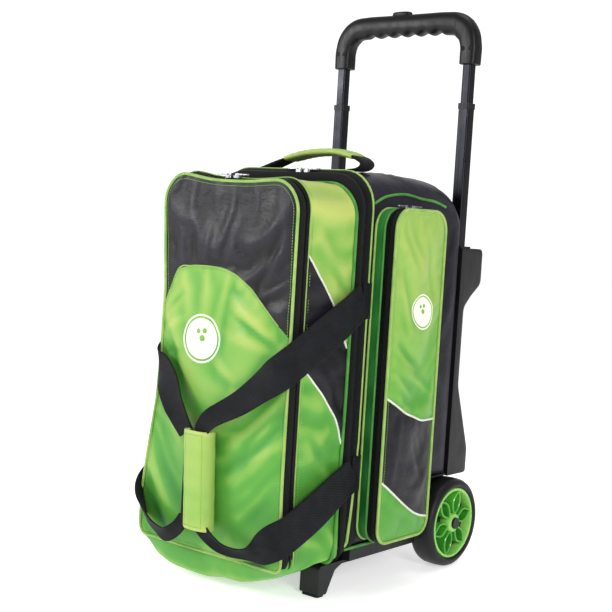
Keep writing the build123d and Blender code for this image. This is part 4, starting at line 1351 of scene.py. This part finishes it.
# ---------------------------------------------------------------- wheels
AXLE_Y, AXLE_Z = 134, 63.5


def lathe(name, profile, centre_x, look, body, stands_for=(), sides=96):
    """Turned part about a wheel's axle: profile of (x offset, radius)."""
    loops = []
    a = around(sides)
    for dx, r in profile:
        x, y, z = np.full(sides, centre_x + dx), AXLE_Y + r * np.cos(a), AXLE_Z + r * np.sin(a)
        loops.append(np.column_stack([x, y, z]))
    points = np.concatenate(loops)
    return outward(piece(name, points, lattice(len(loops), sides, True, True), look, body, stands_for))


def spokes(centre_x, name, body):
    """Six pairs of curved blades between the hub's boss and its rim."""
    reach, width = 16.0, 1.5
    points, faces = [], []
    for turn in range(6):
        for bend in (1, -1):
            spine = []
            for k in range(17):
                t = k / 16
                r = 12.0 + 34.0 * t
                off = 8.6 * bend * math.sin(math.pi * t) ** 0.9
                angle = math.radians(60 * turn + 14)
                c, s = math.cos(angle), math.sin(angle)
                spine.append((r * c - off * s, r * s + off * c))
            spine = np.array(spine)
            t = np.gradient(spine, axis=0)
            t /= np.linalg.norm(t, axis=1, keepdims=True)
            side = np.column_stack([-t[:, 1], t[:, 0]])
            crest = 0.4 * width
            section = [(-width, -reach + 1), (-crest, -reach), (crest, -reach), (width, -reach + 1),
                       (width, reach - 1), (crest, reach), (-crest, reach), (-width, reach - 1)]
            loops = []
            for (y, z), (out_y, out_z) in zip(spine, side):
                loops.append(np.array([(centre_x + d, AXLE_Y + y + out_y * w, AXLE_Z + z + out_z * w)
                                       for w, d in section]))
            join(points, faces, loft(loops, caps=True))
    obj = outward(piece(name, points, faces, "hub", body))
    obj.data.set_sharp_from_angle(angle=math.radians(35))


def both_ends(half):
    """A symmetric profile from its left half."""
    return half + [(-dx, r) for dx, r in half[::-1]]


TYRE = both_ends([(-15.5, 50.1), (-18.4, 52.4), (-18.9, 55), (-18.0, 58.4), (-15.8, 61.2), (-12.0, 62.9),
                  (-6, 63.4)])
TYRE.insert(len(TYRE) // 2, (0, 63.5))
RIM = both_ends([(-16.5, 46.2), (-17.3, 47.0), (-17.3, 49.6), (-16.4, 50.3)])
WEB = both_ends([(-2.0, 12.0), (-2.0, 46.6)])
BOSS = both_ends([(-18.6, 7.0), (-18.9, 8.0), (-18.9, 11.6), (-17.6, 13.2)])
CAP = both_ends([(-18.9, 0.4), (-19.4, 3.0), (-19.2, 5.6), (-18.2, 6.9)])
# Each hub's rim and boss carry the painted highlight, its recessed web the painted shade.
for side, sign in SIDES:
    wheel = f"{side}_wheel"
    x = 132.0 * sign
    lathe(f"{side}_tyre_ring", TYRE, x, "tyre", wheel, [f"{side}_tyre"])
    lathe(f"{side}_hub_rim", RIM, x, "hub_highlight", wheel, [f"{side}_hub"])
    lathe(f"{side}_hub_web", WEB, x, "hub_shade", wheel)
    lathe(f"{side}_hub_boss", BOSS, x, "hub_highlight", wheel)
    spokes(x, f"{side}_hub_spokes", wheel)
    lathe(f"{side}_bearing_cap", CAP, x, "rubber", wheel, sides=40)


# ---------------------------------------------------------------- carried-over CAD nodes
KEPT = {
    "ball_shelf": "moulded", "base_tray": "moulded", "wheel_wells": "moulded", "front_legs": "moulded",
    "foot_pads": "rubber", "fixed_tubes": "tube", "tube_feet": "moulded", "tube_guides": "moulded",
    "axle_bolts": "grip", "right_bearings": "steel", "left_bearings": "steel", "lower_tubes": "tube",
    "lower_tube_caps": "moulded", "upper_tubes": "tube", "release_rods": "steel",
    "button_springs": "steel", "shoe_zip_slider_left": "steel", "shoe_zip_slider_right": "steel",
    "main_zip_slider_left": "steel", "main_zip_slider_right": "steel", "pocket_zip_slider_front": "steel",
    "pocket_zip_slider_rear": "steel",
}
SOFTENED = {"base_tray": 0.0012, "wheel_wells": 0.0012, "front_legs": 0.002, "lower_tube_caps": 0.0009,
            "tube_guides": 0.0008, "ball_shelf": 0.001}
for node, look in KEPT.items():
    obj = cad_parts[node]
    obj.data.materials.clear()
    obj.data.materials.append(looks[look])
    obj.data.polygons.foreach_set("use_smooth", [True] * len(obj.data.polygons))
    obj.data.set_sharp_from_angle(angle=math.radians(32))
    width = SOFTENED.get(node, 0.0004 if "slider" in node else 0.0)
    if width:
        soft = obj.modifiers.new("soft_edges", "BEVEL")
        soft.width = width
        soft.segments = 3
        soft.limit_method = "ANGLE"
        soft.angle_limit = math.radians(40)
        soft.harden_normals = True


# ---------------------------------------------------------------- camera, floor and light
AZIMUTH, RISE, ROLL = (math.radians(v) for v in (39.056, 4.085, 3.457))
CAMERA_PLACE = (1056.5, -1350.05, 485.75)
LENS_MM = 71.58
back = Vector((math.sin(AZIMUTH) * math.cos(RISE), -math.cos(AZIMUTH) * math.cos(RISE), math.sin(RISE)))
right = (-back).cross(Vector((0, 0, 1))).normalized()
up = right.cross(-back)
turned_right = right * math.cos(ROLL) + up * math.sin(ROLL)
turned_up = up * math.cos(ROLL) - right * math.sin(ROLL)
camera = bpy.data.objects.new("camera", bpy.data.cameras.new("camera"))
bpy.context.scene.collection.objects.link(camera)
camera.matrix_world = (Matrix.Translation(spot(*CAMERA_PLACE))
                       @ Matrix((turned_right, turned_up, back)).transposed().to_4x4())
camera.data.lens = LENS_MM
camera.data.sensor_width = 36
bpy.context.scene.camera = camera

FLOOR_GLOW = 0.52
floor_shader = Shader("pale_floor", Roughness=0.7, Emission_Strength=FLOOR_GLOW)
floor_shader.bsdf.inputs["Base Color"].default_value = (0.93, 0.93, 0.93, 1)
floor_shader.bsdf.inputs["Emission Color"].default_value = (1, 1, 1, 1)
floor_mesh = bpy.data.meshes.new("floor")
floor_mesh.from_pydata([(-12, -12, 0), (12, -12, 0), (12, 12, 0), (-12, 12, 0)], [], [(0, 1, 2, 3)])
floor_mesh.materials.append(floor_shader.material)
floor = bpy.data.objects.new("floor", floor_mesh)
bpy.context.scene.collection.objects.link(floor)

# Even grey studio light, with a brighter wall behind the bag as seen from the camera.
AWAY_FROM_CAMERA = (-0.63, 0.777, 0)
ROOM, WALL = 0.42, 1.15
world = bpy.data.worlds.new("studio")
world.use_nodes = True
sky = world.node_tree
toward = sky.nodes.new("ShaderNodeTexCoord").outputs["Generated"]
behind = sky.nodes.new("ShaderNodeVectorMath")
behind.operation = "DOT_PRODUCT"
behind.inputs[1].default_value = AWAY_FROM_CAMERA
wall = sky.nodes.new("ShaderNodeMapRange")
wall.interpolation_type = "SMOOTHSTEP"
for index, number in enumerate((0.55, 0.9, ROOM, WALL)):
    wall.inputs[index + 1].default_value = number
sky.links.new(toward, behind.inputs[0])
sky.links.new(behind.outputs["Value"], wall.inputs[0])
sky.links.new(wall.outputs[0], sky.nodes["Background"].inputs["Strength"])
sky.nodes["Background"].inputs["Color"].default_value = (1, 1, 1, 1)
bpy.context.scene.world = world


def lamp(name, place, aim, size, watts):
    """Soft square lamp turned towards a point."""
    light = bpy.data.lights.new(name, "AREA")
    light.energy = watts
    light.size = size
    obj = bpy.data.objects.new(name, light)
    bpy.context.scene.collection.objects.link(obj)
    obj.location = place
    obj.rotation_euler = (Vector(aim) - Vector(place)).to_track_quat("-Z", "Y").to_euler()


bpy.context.scene.view_settings.view_transform = "Standard"
lamp("key", (-1.7, -2.1, 1.25), (0.0, 0.0, 0.35), 0.9, 40)
lamp("side", (2.4, -1.4, 1.3), (0.0, 0.0, 0.35), 0.9, 40)
lamp("top", (0.2, 0.1, 2.6), (0.0, 0.0, 0.4), 1.2, 14)
